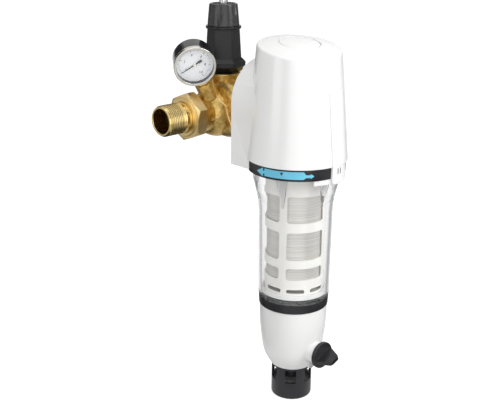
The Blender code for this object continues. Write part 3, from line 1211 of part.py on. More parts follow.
def bowl(material):
    """Clear sleeve with a flange under the lock ring, a flared shoulder and a spigot at each end."""
    flange = LOCK_RING_BORE_RADIUS - CLEARANCE
    outer = [(BOWL_SPIGOT_RADIUS, BOWL_SPIGOT_TOP_Z)]
    outer += groove(BOWL_SPIGOT_RADIUS, HEAD_SOCKET_RADIUS, upper_seal_z(), UPPER_SEAL_SECTION)
    outer += [(BOWL_SPIGOT_RADIUS, BOWL_FLANGE_TOP_Z), (flange, BOWL_FLANGE_TOP_Z),
              (flange, BOWL_FLANGE_BOTTOM_Z),
              (BOWL_NECK_RADIUS, BOWL_FLANGE_BOTTOM_Z), (BOWL_NECK_RADIUS, BOWL_SHOULDER_Z),
              (BOWL_FLARE_RADIUS, BOWL_FLARE_Z), (BOWL_WAIST_RADIUS, BOWL_WAIST_Z),
              (BOWL_TUBE_RADIUS, BOWL_TUBE_Z), (BOWL_BOTTOM_RADIUS, BOWL_BOTTOM_Z),
              (BOWL_LOWER_SPIGOT_RADIUS, BOWL_BOTTOM_Z)]
    outer += groove(BOWL_LOWER_SPIGOT_RADIUS, SOCKET_RADIUS, lower_seal_z(), LOWER_SEAL_SECTION)
    outer.append((BOWL_LOWER_SPIGOT_RADIUS, BOWL_LOWER_SPIGOT_END_Z))
    inner = [(BOWL_LEDGE_RADIUS, BOWL_LOWER_SPIGOT_END_Z), (BOWL_LEDGE_RADIUS, BOWL_LEDGE_Z),
             (BOWL_BOTTOM_RADIUS - BOWL_WALL, BOWL_LEDGE_Z),
             (BOWL_TUBE_RADIUS - BOWL_WALL, BOWL_TUBE_Z), (BOWL_WAIST_RADIUS - BOWL_WALL, BOWL_WAIST_Z),
             (BOWL_FLARE_RADIUS - BOWL_WALL, BOWL_FLARE_Z),
             (BOWL_SPIGOT_RADIUS - BOWL_WALL, BOWL_SHOULDER_Z),
             (BOWL_SPIGOT_RADIUS - BOWL_WALL, BOWL_SPIGOT_TOP_Z)]
    return done(turned("bowl", outer + inner, SEGMENTS_LARGE, FILTER), material,
                (0, FILTER_Y, BOWL_SHOULDER_Z))


def rounded_outline(half_width, half_height, radius):
    points = []
    for x, y, start in ((1, 1, 0), (-1, 1, 90), (-1, -1, 180), (1, -1, 270)):
        centre = (x * (half_width - radius), y * (half_height - radius))
        points += arc(centre, radius, start, start + 90, 2)
    return points


def radial_window(half_width, top, bottom, corner, angle, near, far):
    """A rounded opening cut outwards from the filter's axis at an angle from the front."""
    middle = Matrix.Translation((0, FILTER_Y, (top + bottom) / 2))
    frame = middle @ Matrix.Rotation(angle, 4, "Z") @ FORWARD
    outline = rounded_outline(half_width, (top - bottom) / 2, corner)
    return extruded("opening", outline, near, far, frame)


def cage_openings():
    half_bar = math.asin(CAGE_BAR_WIDTH / 2 / CAGE_RADIUS)
    half_window = math.pi / CAGE_COLUMNS - half_bar
    half_width = CAGE_RADIUS * math.sin(half_window)
    near = CAGE_RADIUS - CAGE_WINDOW_REACH
    far = CAGE_RADIUS + OVERCUT
    openings = []
    for column in range(CAGE_COLUMNS):
        turn = CAGE_TURN + math.pi / CAGE_COLUMNS + 2 * math.pi * column / CAGE_COLUMNS
        for top, bottom in CAGE_WINDOW_ROWS:
            openings.append(radial_window(half_width, top, bottom, CAGE_CORNER_RADIUS, turn, near, far))
        slot_turn = CAGE_SLOT_TURN + 2 * math.pi * column / CAGE_COLUMNS
        top, bottom = CAGE_SLOT_ROW
        openings.append(radial_window(CAGE_SLOT_WIDTH / 2, top, bottom, (top - bottom) / 3, slot_turn,
                                      near, far))
    return group("openings", openings)


def filter_cage(material):
    hole = TUBE_RADIUS - TUBE_WALL
    roof = CAGE_TOP_Z - CAGE_FLOOR_THICKNESS
    floor = CAGE_BOTTOM_Z + CAGE_FLOOR_THICKNESS
    inner = CAGE_RADIUS - CAGE_WALL
    profile = [(hole, CAGE_TOP_Z), (CAGE_RADIUS, CAGE_TOP_Z), (CAGE_RADIUS, CAGE_BOTTOM_Z),
               (hole, CAGE_BOTTOM_Z),
               (hole, floor), (inner, floor), (inner, roof), (hole, roof)]
    cage = turned("filter_cage", profile, SEGMENTS_LARGE, FILTER)
    cut(cage, cage_openings())
    return done(cage, material, (0, FILTER_Y, CAGE_TOP_Z), smooth_angle=30)


def cage_seal(material):
    """Ring on the bowl's ledge, under the cage."""
    return round_seal("cage_seal", CAGE_SEAL_RADIUS + LOWER_SEAL_SECTION,
                      BOWL_LEDGE_Z + CLEARANCE + LOWER_SEAL_SECTION,
                      LOWER_SEAL_SECTION, material)


def filter_mesh(material):
    outer = CAGE_RADIUS - CAGE_WALL - CLEARANCE
    sieve = tube("filter_mesh", outer, outer - MESH_THICKNESS, MESH_TOP_Z, MESH_BOTTOM_Z, SEGMENTS_LARGE,
                 FILTER)
    return done(sieve, material)


def filter_tube(material):
    top = CAGE_TOP_Z - CAGE_FLOOR_THICKNESS - CLEARANCE
    low = CAGE_BOTTOM_Z + CAGE_FLOOR_THICKNESS + CLEARANCE
    pipe = tube("filter_tube", TUBE_RADIUS, TUBE_RADIUS - TUBE_WALL, top, low, SEGMENTS_SMALL, FILTER)
    return done(pipe, material)


def insert_spring(material):
    spring = coil("insert_spring", INSERT_SPRING_RADIUS, INSERT_SPRING_WIRE_RADIUS,
                  HOUSING_CAVITY_FLOOR_Z + CLEARANCE, CAGE_BOTTOM_Z - CLEARANCE, INSERT_SPRING_TURNS, FILTER)
    return done(spring, material, smooth_angle=80)


def base_ring(material):
    profile = [(SOCKET_RADIUS, BASE_RING_TOP_Z), (BASE_RING_TOP_RADIUS, BASE_RING_TOP_Z),
               (BASE_RING_BOTTOM_RADIUS, BASE_RING_BOTTOM_Z), (SOCKET_RADIUS, BASE_RING_BOTTOM_Z)]
    return done(turned("base_ring", profile, SEGMENTS_LARGE, FILTER), material)


def stem_seal_depth():
    return 2 * LOWER_SEAL_SECTION + 2 * CLEARANCE


def stem_seal_outer():
    return STEM_RADIUS + CLEARANCE + 2 * LOWER_SEAL_SECTION


def stem_collar_end():
    return BALL_RADIUS + CLEARANCE + STEM_COLLAR_THICKNESS


def drain_housing(material):
    """White bell: bowl socket on top, spring cavity, ball pocket open at the foot, and a stem boss."""
    pocket_top = VALVE_Z + BALL_SEAT_TOP + CLEARANCE
    socket_floor = BOWL_LOWER_SPIGOT_END_Z - CLEARANCE
    spigot_top = OUTLET_TOP_Z + OUTLET_SPIGOT_LENGTH + CLEARANCE
    spigot_outer = OUTLET_SPIGOT_RADIUS + CLEARANCE
    spigot_inner = OUTLET_SPIGOT_RADIUS - OUTLET_SPIGOT_WALL - CLEARANCE
    profile = [(SOCKET_RADIUS, HOUSING_TOP_Z), (HOUSING_TOP_RADIUS, HOUSING_TOP_Z),
               (HOUSING_SIDE_RADIUS, HOUSING_SIDE_Z), (HOUSING_TAPER_RADIUS, HOUSING_TAPER_Z),
               (HOUSING_CORNER_RADIUS, HOUSING_CORNER_Z), (HOUSING_BOTTOM_RADIUS, HOUSING_BOTTOM_Z),
               (spigot_outer, HOUSING_BOTTOM_Z), (spigot_outer, spigot_top),
               (spigot_inner, spigot_top), (spigot_inner, HOUSING_BOTTOM_Z),
               (BALL_POCKET_RADIUS, HOUSING_BOTTOM_Z), (BALL_POCKET_RADIUS, pocket_top),
               (HOUSING_PORT_RADIUS, pocket_top), (HOUSING_PORT_RADIUS, HOUSING_CAVITY_FLOOR_Z),
               (HOUSING_CAVITY_RADIUS, HOUSING_CAVITY_FLOOR_Z), (HOUSING_CAVITY_RADIUS, socket_floor),
               (SOCKET_RADIUS, socket_floor)]
    bell = turned("drain_housing", profile, SEGMENTS_LARGE, FILTER)
    wall_start = (BALL_POCKET_RADIUS + HOUSING_CORNER_RADIUS) / 2
    lug_frame = Matrix.Translation((0, FILTER_Y, LUG_Z)) @ FORWARD
    add(bell, cylinder("boss", VALVE_BOSS_RADIUS, wall_start, VALVE_BOSS_FACE, SEGMENTS_MEDIUM, VALVE),
        cylinder("lug", LUG_RADIUS, wall_start, LUG_REACH, SEGMENTS_SMALL, lug_frame))
    cut(bell, stem_room(),
        cylinder("screw_hole", LUG_SCREW_RADIUS + CLEARANCE, LUG_REACH - LUG_SCREW_LENGTH - CLEARANCE,
                 LUG_REACH + OVERCUT, SEGMENTS_SMALL, lug_frame))
    return done(bell, material, (0, FILTER_Y, VALVE_Z), smooth_angle=35)


def stem_room():
    """Stepped bore for the valve stem: collar inside, shaft, seal at the face."""
    collar = STEM_COLLAR_RADIUS + CLEARANCE
    collar_end = stem_collar_end() + CLEARANCE
    shaft = STEM_RADIUS + CLEARANCE
    seal = stem_seal_outer() + CLEARANCE
    seal_start = VALVE_BOSS_FACE - stem_seal_depth()
    face = VALVE_BOSS_FACE + OVERCUT
    profile = [(0, 0), (collar, 0), (collar, collar_end), (shaft, collar_end), (shaft, seal_start),
               (seal, seal_start), (seal, face), (0, face)]
    return turned("stem_room", profile, SEGMENTS_SMALL, VALVE, math.pi / SEGMENTS_SMALL)


def drain_ball(material):
    """Ball of the drain valve, bore across the passage at rest, slot at its front for the stem."""
    half_turn_steps = SEGMENTS_MEDIUM // 2
    side = arc((0, 0), BALL_RADIUS, 90, -90, half_turn_steps)[1:-1]
    profile = [(0, BALL_RADIUS)] + side + [(0, -BALL_RADIUS)]
    ball = turned("drain_ball", profile, SEGMENTS_MEDIUM, VALVE)
    slot = STEM_TANG_HALF_WIDTH + CLEARANCE
    depth = BALL_RADIUS - STEM_TANG_DEPTH
    cut(ball, cylinder("bore", BALL_BORE_RADIUS, -BALL_RADIUS - OVERCUT, BALL_RADIUS + OVERCUT,
                       SEGMENTS_MEDIUM,
                       VALVE @ RIGHT),
        block("slot", (-BALL_RADIUS, -slot, depth), (BALL_RADIUS, slot, BALL_RADIUS + OVERCUT), VALVE))
    return done(ball, material, (0, FILTER_Y, VALVE_Z), smooth_angle=40)


def ball_seat(name, frame, material):
    """Ring that hugs the ball above or below; local Z points away from the ball."""
    hug = BALL_RADIUS + CLEARANCE
    low_angle = math.degrees(math.asin(BALL_SEAT_EDGE / hug))
    high_angle = math.degrees(math.acos(BALL_SEAT_BORE_RADIUS / hug))
    outer = BALL_POCKET_RADIUS - CLEARANCE
    profile = [(outer, BALL_SEAT_EDGE)] + arc((0, 0), hug, low_angle, high_angle, 4)
    profile += [(BALL_SEAT_BORE_RADIUS, BALL_SEAT_TOP), (outer, BALL_SEAT_TOP)]
    return done(turned(name, profile, SEGMENTS_MEDIUM, frame), material)


def drain_stem(material):
    collar_low = BALL_RADIUS + CLEARANCE
    shaft_end = VALVE_BOSS_FACE + KNOB_HUB_GAP
    profile = [(0, collar_low), (STEM_COLLAR_RADIUS, collar_low), (STEM_COLLAR_RADIUS, stem_collar_end()),
               (STEM_RADIUS, stem_collar_end()), (STEM_RADIUS, shaft_end), (0, shaft_end)]
    stem = turned("drain_stem", profile, SEGMENTS_SMALL, VALVE)
    tang = STEM_TANG_HALF_WIDTH
    tang_low = BALL_RADIUS - STEM_TANG_DEPTH + CLEARANCE
    square = STEM_SQUARE_HALF_WIDTH
    add(stem, block("tang", (-STEM_RADIUS, -tang, tang_low), (STEM_RADIUS, tang, collar_low + CLEARANCE),
                    VALVE),
        block("square", (-square, -square, shaft_end - CLEARANCE),
              (square, square, shaft_end + STEM_SQUARE_LENGTH),
              VALVE @ Matrix.Rotation(FIN_TURN, 4, "Z")))
    cut(stem, pin_shape("pin_hole", CLEARANCE))
    return done(stem, material, (0, FILTER_Y, VALVE_Z))


def stem_seal(material):
    middle = VALVE_BOSS_FACE - CLEARANCE - LOWER_SEAL_SECTION
    return round_seal("stem_seal", stem_seal_outer(), middle, LOWER_SEAL_SECTION, material, VALVE)


def pin_shape(name, extra):
    """The cross pin that holds the knob on the stem, or with extra the hole for it."""
    middle = VALVE_BOSS_FACE + (KNOB_HUB_GAP + KNOB_GAP) / 2 + KNOB_HUB_GAP
    frame = VALVE @ Matrix.Rotation(FIN_TURN, 4, "Z") @ Matrix.Translation((0, 0, middle)) @ FORWARD
    reach = DRAIN_KNOB_HUB_RADIUS + extra
    return cylinder(name, KNOB_PIN_RADIUS + extra, -reach, reach, SEGMENTS_SMALL, frame)


def knob_fin():
    foot = VALVE_BOSS_FACE + KNOB_GAP + DRAIN_KNOB_THICKNESS / 2
    tip = VALVE_BOSS_FACE + KNOB_GAP + DRAIN_KNOB_THICKNESS + FIN_LENGTH
    outline = [(-FIN_HALF_WIDTH, -foot), (FIN_HALF_WIDTH, -foot)]
    corner = (FIN_TIP_HALF_WIDTH - FIN_CORNER_RADIUS, -tip + FIN_CORNER_RADIUS)
    outline += arc(corner, FIN_CORNER_RADIUS, -15, -90, 4)
    outline += arc((-corner[0], corner[1]), FIN_CORNER_RADIUS, -90, -165, 4)
    frame = Matrix.Translation((0, FILTER_Y, VALVE_Z)) @ Matrix.Rotation(-FIN_TURN, 4, "Y")
    return extruded("fin", outline, -FIN_THICKNESS / 2, FIN_THICKNESS / 2, frame)


def drain_knob(material):
    """Winged knob: hub on the stem's square, round disc and a fin to grip."""
    hub_low = VALVE_BOSS_FACE + KNOB_HUB_GAP + CLEARANCE
    disc_low = VALVE_BOSS_FACE + KNOB_GAP
    disc_top = disc_low + DRAIN_KNOB_THICKNESS
    edge = DRAIN_KNOB_EDGE
    profile = [(0, hub_low), (DRAIN_KNOB_HUB_RADIUS, hub_low), (DRAIN_KNOB_HUB_RADIUS, disc_low),
               (DRAIN_KNOB_RADIUS - edge, disc_low), (DRAIN_KNOB_RADIUS, disc_low + edge),
               (DRAIN_KNOB_RADIUS, disc_top - edge), (DRAIN_KNOB_RADIUS - edge, disc_top), (0, disc_top)]
    knob = turned("drain_knob", profile, SEGMENTS_MEDIUM, VALVE)
    add(knob, knob_fin())
    room = STEM_SQUARE_HALF_WIDTH + CLEARANCE
    square_end = VALVE_BOSS_FACE + KNOB_HUB_GAP + STEM_SQUARE_LENGTH + CLEARANCE
    cut(knob, block("square_room", (-room, -room, hub_low - OVERCUT), (room, room, square_end),
                    VALVE @ Matrix.Rotation(FIN_TURN, 4, "Z")),
        pin_shape("pin_hole", CLEARANCE))
    return done(knob, material, (0, FILTER_Y, VALVE_Z), smooth_angle=35)


def housing_screw(material):
    frame = Matrix.Translation((0, FILTER_Y, LUG_Z)) @ FORWARD
    low = LUG_REACH - LUG_SCREW_LENGTH
    seat = LUG_REACH + CLEARANCE
    top = seat + LUG_SCREW_HEAD_LENGTH
    profile = [(0, low), (LUG_SCREW_RADIUS, low), (LUG_SCREW_RADIUS, seat), (LUG_SCREW_HEAD_RADIUS, seat),
               (LUG_SCREW_HEAD_RADIUS, top), (0, top)]
    return done(turned("housing_screw", profile, SEGMENTS_SMALL, frame), material,
                (0, FILTER_Y - LUG_REACH, LUG_Z))


def drain_outlet(material):
    """Charcoal outlet with air slots round its top and an open mouth below."""
    edge = OUTLET_EDGE_RADIUS
    inner = OUTLET_RADIUS - OUTLET_WALL
    hole = NOZZLE_RADIUS + CLEARANCE
    spigot_top = OUTLET_TOP_Z + OUTLET_SPIGOT_LENGTH
    spigot_inner = OUTLET_SPIGOT_RADIUS - OUTLET_SPIGOT_WALL
    profile = [(hole, OUTLET_TOP_Z), (spigot_inner, OUTLET_TOP_Z), (spigot_inner, spigot_top),
               (OUTLET_SPIGOT_RADIUS, spigot_top), (OUTLET_SPIGOT_RADIUS, OUTLET_TOP_Z),
               (OUTLET_RADIUS, OUTLET_TOP_Z)]
    profile += arc((OUTLET_RADIUS - edge, OUTLET_BOTTOM_Z + edge), edge, 0, -90, 3)
    profile += [(inner, OUTLET_BOTTOM_Z), (inner, OUTLET_SLOT_TOP_Z), (hole, OUTLET_SLOT_TOP_Z)]
    cup = turned("drain_outlet", profile, SEGMENTS_LARGE, FILTER)
    half = OUTLET_RADIUS * math.sin(OUTLET_SLOT_ANGLE / 2)
    for slot in range(OUTLET_SLOTS):
        turn = OUTLET_SLOT_TURN + 2 * math.pi * slot / OUTLET_SLOTS
        cut(cup, radial_window(half, OUTLET_SLOT_TOP_Z - CLEARANCE, OUTLET_SLOT_BOTTOM_Z, edge, turn,
                               inner / 2, OUTLET_RADIUS + OVERCUT))
    return done(cup, material, (0, FILTER_Y, OUTLET_TOP_Z))


def outlet_nozzle(material):
    """Tube that carries the drained water down past the air slots."""
    hub = BALL_POCKET_RADIUS - CLEARANCE
    bore = NOZZLE_RADIUS - NOZZLE_WALL
    hub_top = VALVE_Z - BALL_SEAT_TOP - CLEARANCE
    profile = [(bore, hub_top), (hub, hub_top), (hub, HOUSING_BOTTOM_Z), (NOZZLE_RADIUS, HOUSING_BOTTOM_Z),
               (NOZZLE_RADIUS, NOZZLE_END_Z), (bore, NOZZLE_END_Z)]
    return done(turned("outlet_nozzle", profile, SEGMENTS_MEDIUM, FILTER), material)


def build_filter():
    white = finish_material("white_plastic", (0.9, 0.9, 0.88), 0.25)
    cream = finish_material("cream_plastic", (0.85, 0.83, 0.74), 0.4)
    charcoal = finish_material("charcoal_plastic", (0.07, 0.08, 0.1), 0.5)
    clear = finish_material("clear_plastic", (0.85, 0.9, 0.92), 0.05)
    steel = finish_material("filter_steel", (0.6, 0.59, 0.55), 0.35, 1.0)
    rubber = finish_material("filter_rubber", (0.03, 0.03, 0.03), 0.6)
    filter_head(white)
    hood(white)
    hood_button(white)
    lock_ring(charcoal)
    bowl(clear)
    round_seal("bowl_seal_upper", HEAD_SOCKET_RADIUS - CLEARANCE, upper_seal_z(), UPPER_SEAL_SECTION, rubber)
    round_seal("bowl_seal_lower", SOCKET_RADIUS - CLEARANCE, lower_seal_z(), LOWER_SEAL_SECTION, rubber)
    filter_cage(cream)
    cage_seal(rubber)
    filter_mesh(steel)
    filter_tube(cream)
    insert_spring(steel)
    base_ring(charcoal)
    drain_housing(white)
    drain_ball(steel)
    middle = Matrix.Translation((0, FILTER_Y, VALVE_Z))
    ball_seat("ball_seat_upper", middle, cream)
    ball_seat("ball_seat_lower", middle @ Matrix.Rotation(math.pi, 4, "X"), cream)
    drain_stem(steel)
    stem_seal(rubber)
    drain_knob(charcoal)
    done(pin_shape("knob_pin", 0), steel)
    housing_screw(steel)
    drain_outlet(charcoal)
    outlet_nozzle(charcoal)


def main():
    clear_scene()
    build_pipe_connection()
    build_reducer()
    build_gauge()
    build_filter()


main()
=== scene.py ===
import math

import bmesh
import bpy
from mathutils import Matrix, Vector


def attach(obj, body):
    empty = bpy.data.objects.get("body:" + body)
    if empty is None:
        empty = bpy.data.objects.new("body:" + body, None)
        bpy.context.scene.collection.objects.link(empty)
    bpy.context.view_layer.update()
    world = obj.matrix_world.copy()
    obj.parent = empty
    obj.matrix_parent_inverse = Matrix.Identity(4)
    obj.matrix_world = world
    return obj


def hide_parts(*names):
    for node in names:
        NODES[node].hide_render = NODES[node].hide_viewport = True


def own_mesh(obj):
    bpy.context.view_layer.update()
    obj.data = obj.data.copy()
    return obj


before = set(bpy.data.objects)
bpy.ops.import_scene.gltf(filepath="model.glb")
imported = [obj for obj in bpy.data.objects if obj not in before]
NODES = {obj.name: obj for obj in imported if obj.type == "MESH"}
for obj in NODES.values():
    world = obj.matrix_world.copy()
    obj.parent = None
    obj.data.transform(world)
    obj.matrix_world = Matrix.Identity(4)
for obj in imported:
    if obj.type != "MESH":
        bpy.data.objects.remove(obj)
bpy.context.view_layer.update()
FIXED = "fixed_assembly"

# Facets of the turned pieces
FINE = 128
MEDIUM = 96
ROUND = 64
BAR_SIDES = 8
# Steps in a rounded corner, and between two points of a curve
CORNER_STEPS = 4
CURVE_STEPS = 6
# Degrees between faces that still look smooth
SMOOTH = 35

# Filter axis, the height of its valve, and frames
FILTER_Y = -0.112
VALVE_Z = -0.244
OVERCUT = 0.002
UP = Matrix.Identity(4)
RIGHT = Matrix.Rotation(math.radians(90), 4, "Y")
LEFT = Matrix.Rotation(math.radians(-90), 4, "Y")
FORWARD = Matrix.Rotation(math.radians(90), 4, "X")
FILTER = Matrix.Translation((0, FILTER_Y, 0))
VALVE = Matrix.Translation((0, FILTER_Y, VALVE_Z)) @ FORWARD


# Shapes

def to_object(name, bm, place=UP, smooth=SMOOTH):
    bmesh.ops.recalc_face_normals(bm, faces=bm.faces)
    mesh = bpy.data.meshes.new(name)
    bm.to_mesh(mesh)
    bm.free()
    mesh.transform(place)
    item = bpy.data.objects.new(name, mesh)
    bpy.context.scene.collection.objects.link(item)
    soften(item, smooth)
    return item


def soften(item, angle):
    item.data.shade_smooth()
    item.data.set_sharp_from_angle(angle=math.radians(angle))


def turned(name, profile, segments, place=UP, phase=0.0, smooth=SMOOTH):
    """A closed (radius, height) profile turned about local Z."""
    bm = bmesh.new()
    angles = [phase + 2 * math.pi * step / segments for step in range(segments)]
    rows = [[bm.verts.new((radius * math.cos(angle), radius * math.sin(angle), height))
             for angle in (angles if radius else angles[:1])] for radius, height in profile]
    for upper, lower in zip(rows, rows[1:] + rows[:1]):
        join_rows(bm, upper, lower)
    bmesh.ops.delete(bm, geom=[v for v in bm.verts if not v.link_faces], context="VERTS")
    return to_object(name, bm, place, smooth)


def join_rows(bm, upper, lower):
    count = max(len(upper), len(lower))
    if count == 1:
        return
    if min(len(upper), len(lower)) == 1 and upper[0].co.z == lower[0].co.z:
        bm.faces.new(upper if len(upper) > 1 else lower)
        return
    for step in range(count):
        after = (step + 1) % count
        if len(upper) == 1:
            bm.faces.new((upper[0], lower[step], lower[after]))
        elif len(lower) == 1:
            bm.faces.new((upper[step], upper[after], lower[0]))
        else:
            bm.faces.new((upper[step], upper[after], lower[after], lower[step]))


def lofted(name, sections, place=UP, smooth=SMOOTH):
    """A solid through closed sections of equal count, or between two of them."""
    bm = bmesh.new()
    rows = [[bm.verts.new(point) for point in section] for section in sections]
    for first, second in zip(rows, rows[1:]):
        join_rows(bm, first, second)
    bm.faces.new(rows[0])
    bm.faces.new(rows[-1])
    return to_object(name, bm, place, smooth)


def extruded(name, outline, low, high, place=UP):
    return lofted(name, [[(x, y, h) for x, y in outline] for h in (low, high)], place)


def box(inner, outer, high, low):
    """Profile of a plain ring."""
    return [(inner, high), (outer, high), (outer, low), (inner, low)]


def cylinder(name, radius, low, high, segments=ROUND, place=UP):
    return turned(name, box(0, radius, high, low), segments, place, math.pi / segments)


def combine(target, tool, operation, smooth=SMOOTH):
    step = target.modifiers.new("Combine", "BOOLEAN")
    step.operation = operation
    step.solver = "EXACT"
    step.object = tool
    graph = bpy.context.evaluated_depsgraph_get()
    mesh = bpy.data.meshes.new_from_object(target.evaluated_get(graph))
    target.modifiers.clear()
    target.data = mesh
    bpy.data.objects.remove(tool, do_unlink=True)
    soften(target, smooth)


def cut(target, *tools):
    for tool in tools:
        combine(target, tool, "DIFFERENCE")


def add(target, *tools):
    for tool in tools:
        combine(target, tool, "UNION")


def arc(centre, radius, start, end, steps):
    x, y = centre
    angles = [math.radians(start + (end - start) * step / steps) for step in range(steps + 1)]
    return [(x + radius * math.cos(angle), y + radius * math.sin(angle)) for angle in angles]


def rounded(points, radius):
    """Rounds every corner of a closed profile by a small radius."""
    result = []
    count = len(points)
    for index in range(count):
        here = Vector(points[index])
        before = Vector(points[index - 1]) - here
        after = Vector(points[(index + 1) % count]) - here
        room = min(radius, before.length * 0.4, after.length * 0.4)
        if here.x == 0 or room <= 0:
            result.append(tuple(here))
            continue
        first = here + before.normalized() * room
        last = here + after.normalized() * room
        for step in range(CORNER_STEPS + 1):
            t = step / CORNER_STEPS
            point = first * (1 - t) ** 2 + here * 2 * t * (1 - t) + last * t ** 2
            result.append((max(point.x, 0.0), point.y))
    return result


def smooth_curve(points):
    """Catmull-Rom curve through the points."""
    result = []
    for index in range(len(points) - 1):
        p0, p3 = Vector(points[max(index - 1, 0)]), Vector(points[min(index + 2, len(points) - 1)])
        p1, p2 = Vector(points[index]), Vector(points[index + 1])
        for step in range(CURVE_STEPS):
            t = step / CURVE_STEPS
            result.append(0.5 * (2 * p1 + (p2 - p0) * t + (2 * p0 - 5 * p1 + 4 * p2 - p3) * t ** 2
                                 + (3 * p1 - p0 - 3 * p2 + p3) * t ** 3))
    return result + [Vector(points[-1])]


def joined(name, items):
    """One mesh in place of several."""
    bm = bmesh.new()
    for item in items:
        bm.from_mesh(item.data)
        bpy.data.objects.remove(item, do_unlink=True)
    mesh = bpy.data.meshes.new(name)
    bm.to_mesh(mesh)
    bm.free()
    item = bpy.data.objects.new(name, mesh)
    bpy.context.scene.collection.objects.link(item)
    soften(item, SMOOTH)
    return item


# Materials

def node(tree, kind, sockets=None, **values):
    """A new node; each socket takes a value, or the output that feeds it."""
    item = tree.nodes.new(kind)
    for name, value in values.items():
        setattr(item, name, value)
    for name, value in (sockets or {}).items():
        if isinstance(value, bpy.types.NodeSocket):
            tree.links.new(value, item.inputs[name])
        else:
            item.inputs[name].default_value = value
    return item


def colours(tree, factor, stops):
    """Output of a ramp with a stop for each (position, colour)."""
    item = node(tree, "ShaderNodeValToRGB", {"Fac": factor})
    elements = item.color_ramp.elements
    for index, (position, colour) in enumerate(stops):
        stop = elements[index] if index < 2 else elements.new(position)
        stop.position = position
        stop.color = (*colour, 1)
    return item.outputs["Color"]


def spread(tree, value, low, high, start=0.0, end=1.0):
    """A value from start to end, spread between low and high."""
    sockets = {"Value": value, "From Min": start, "From Max": end, "To Min": low, "To Max": high}
    return node(tree, "ShaderNodeMapRange", sockets).outputs["Result"]


def size_of(tree, value):
    return node(tree, "ShaderNodeMath", {0: value}, operation="ABSOLUTE").outputs[0]


def surface(name, stops, roughness, metallic=0.0, scale=40.0, detail=4.0, rough_spread=0.05,
            bump=0.05, bump_scale=500.0, bevel=0.0004, coat=0.0, stretch=(1, 1, 1), extra=None):
    """A Principled material whose colour, roughness and relief come from noise."""
    material = bpy.data.materials.new(name)
    material.use_nodes = True
    tree = material.node_tree
    shader = tree.nodes["Principled BSDF"]
    place = node(tree, "ShaderNodeTexCoord").outputs["Object"]
    mapped = node(tree, "ShaderNodeMapping", {"Vector": place, "Scale": stretch}).outputs["Vector"]
    noise = node(tree, "ShaderNodeTexNoise", {"Vector": mapped, "Scale": scale, "Detail": detail})
    noise = noise.outputs["Fac"]
    ends = [(0.3, stops[0]), (0.7, stops[-1])]
    base = colours(tree, noise, ends + [(0.5, stop) for stop in stops[1:-1]])
    grain = node(tree, "ShaderNodeTexNoise", {"Vector": mapped, "Scale": bump_scale}).outputs["Fac"]
    relief = node(tree, "ShaderNodeBump", {"Strength": bump, "Distance": 0.0003, "Height": grain})
    if bevel:
        edge = node(tree, "ShaderNodeBevel", {"Radius": bevel}, samples=4)
        tree.links.new(edge.outputs["Normal"], relief.inputs["Normal"])
    rough = spread(tree, noise, max(roughness - rough_spread, 0.01), min(roughness + rough_spread, 1.0))
    for socket, source in (("Base Color", base), ("Roughness", rough), ("Normal", relief.outputs["Normal"])):
        tree.links.new(source, shader.inputs[socket])
    if extra:
        extra(tree, base, mapped)
    return with_values(material, {"Metallic": metallic, "Coat Weight": coat})


def with_values(material, values):
    """Sets inputs of the material's shader."""
    for name, value in values.items():
        material.node_tree.nodes["Principled BSDF"].inputs[name].default_value = value
    return material


def clear_plastic(name, tint, roughness, ior):
    """Clear plastic that shadow and diffuse rays pass without bending."""
    lighter = tuple(min(1, level * 1.02) for level in tint)
    material = surface(name, (tint, lighter), roughness, 0, 30, 4.0, 0.01, 0.01, 60, 0)
    with_values(material, {"Transmission Weight": 1.0, "IOR": ior})
    tree = material.node_tree
    rays = node(tree, "ShaderNodeLightPath").outputs
    straight = node(tree, "ShaderNodeMath", {0: rays["Is Shadow Ray"], 1: rays["Is Diffuse Ray"]},
                    operation="MAXIMUM").outputs[0]
    through = node(tree, "ShaderNodeBsdfTransparent", {"Color": (*tint, 1)}).outputs[0]
    shade(tree, node(tree, "ShaderNodeMixShader", {0: straight, 1: tree.nodes["Principled BSDF"].outputs[0],
                                                   2: through}).outputs[0])
    return material


def shade(tree, result, kind="Material"):
    """Makes the result what the material or the world shows."""
    tree.links.new(result, tree.nodes[kind + " Output"].inputs["Surface"])


def banded(tree, base, mapped, direction, scale, share):
    """Multiplies the base colour by a wave that runs along one axis."""
    wave = node(tree, "ShaderNodeTexWave", {"Vector": mapped, "Scale": scale}, bands_direction=direction)
    mix = node(tree, "ShaderNodeMix", {"Factor": share, "A": base, "B": wave.outputs["Color"]},
               data_type="RGBA", blend_type="MULTIPLY")
    tree.links.new(mix.outputs["Result"], tree.nodes["Principled BSDF"].inputs["Base Color"])


def woven(tree, base, mapped):
    """Fine bands over the sieve."""
    banded(tree, base, mapped, "Z", 7.0, 0.22)


def thread_groove_shade(tree, base, mapped):
    """Painted shade: darker bands in the grooves of a thread along the run, on the free end of a tail."""
    spot = node(tree, "ShaderNodeSeparateXYZ", {0: mapped}).outputs["X"]
    # How much the painted groove shade darkens, rising towards the tail's free end
    depth = spread(tree, size_of(tree, spot), 0, 0.55, 0.0685, 0.0700)
    banded(tree, base, mapped, "X", 2 * math.pi / (20 * THREAD_PITCH), depth)


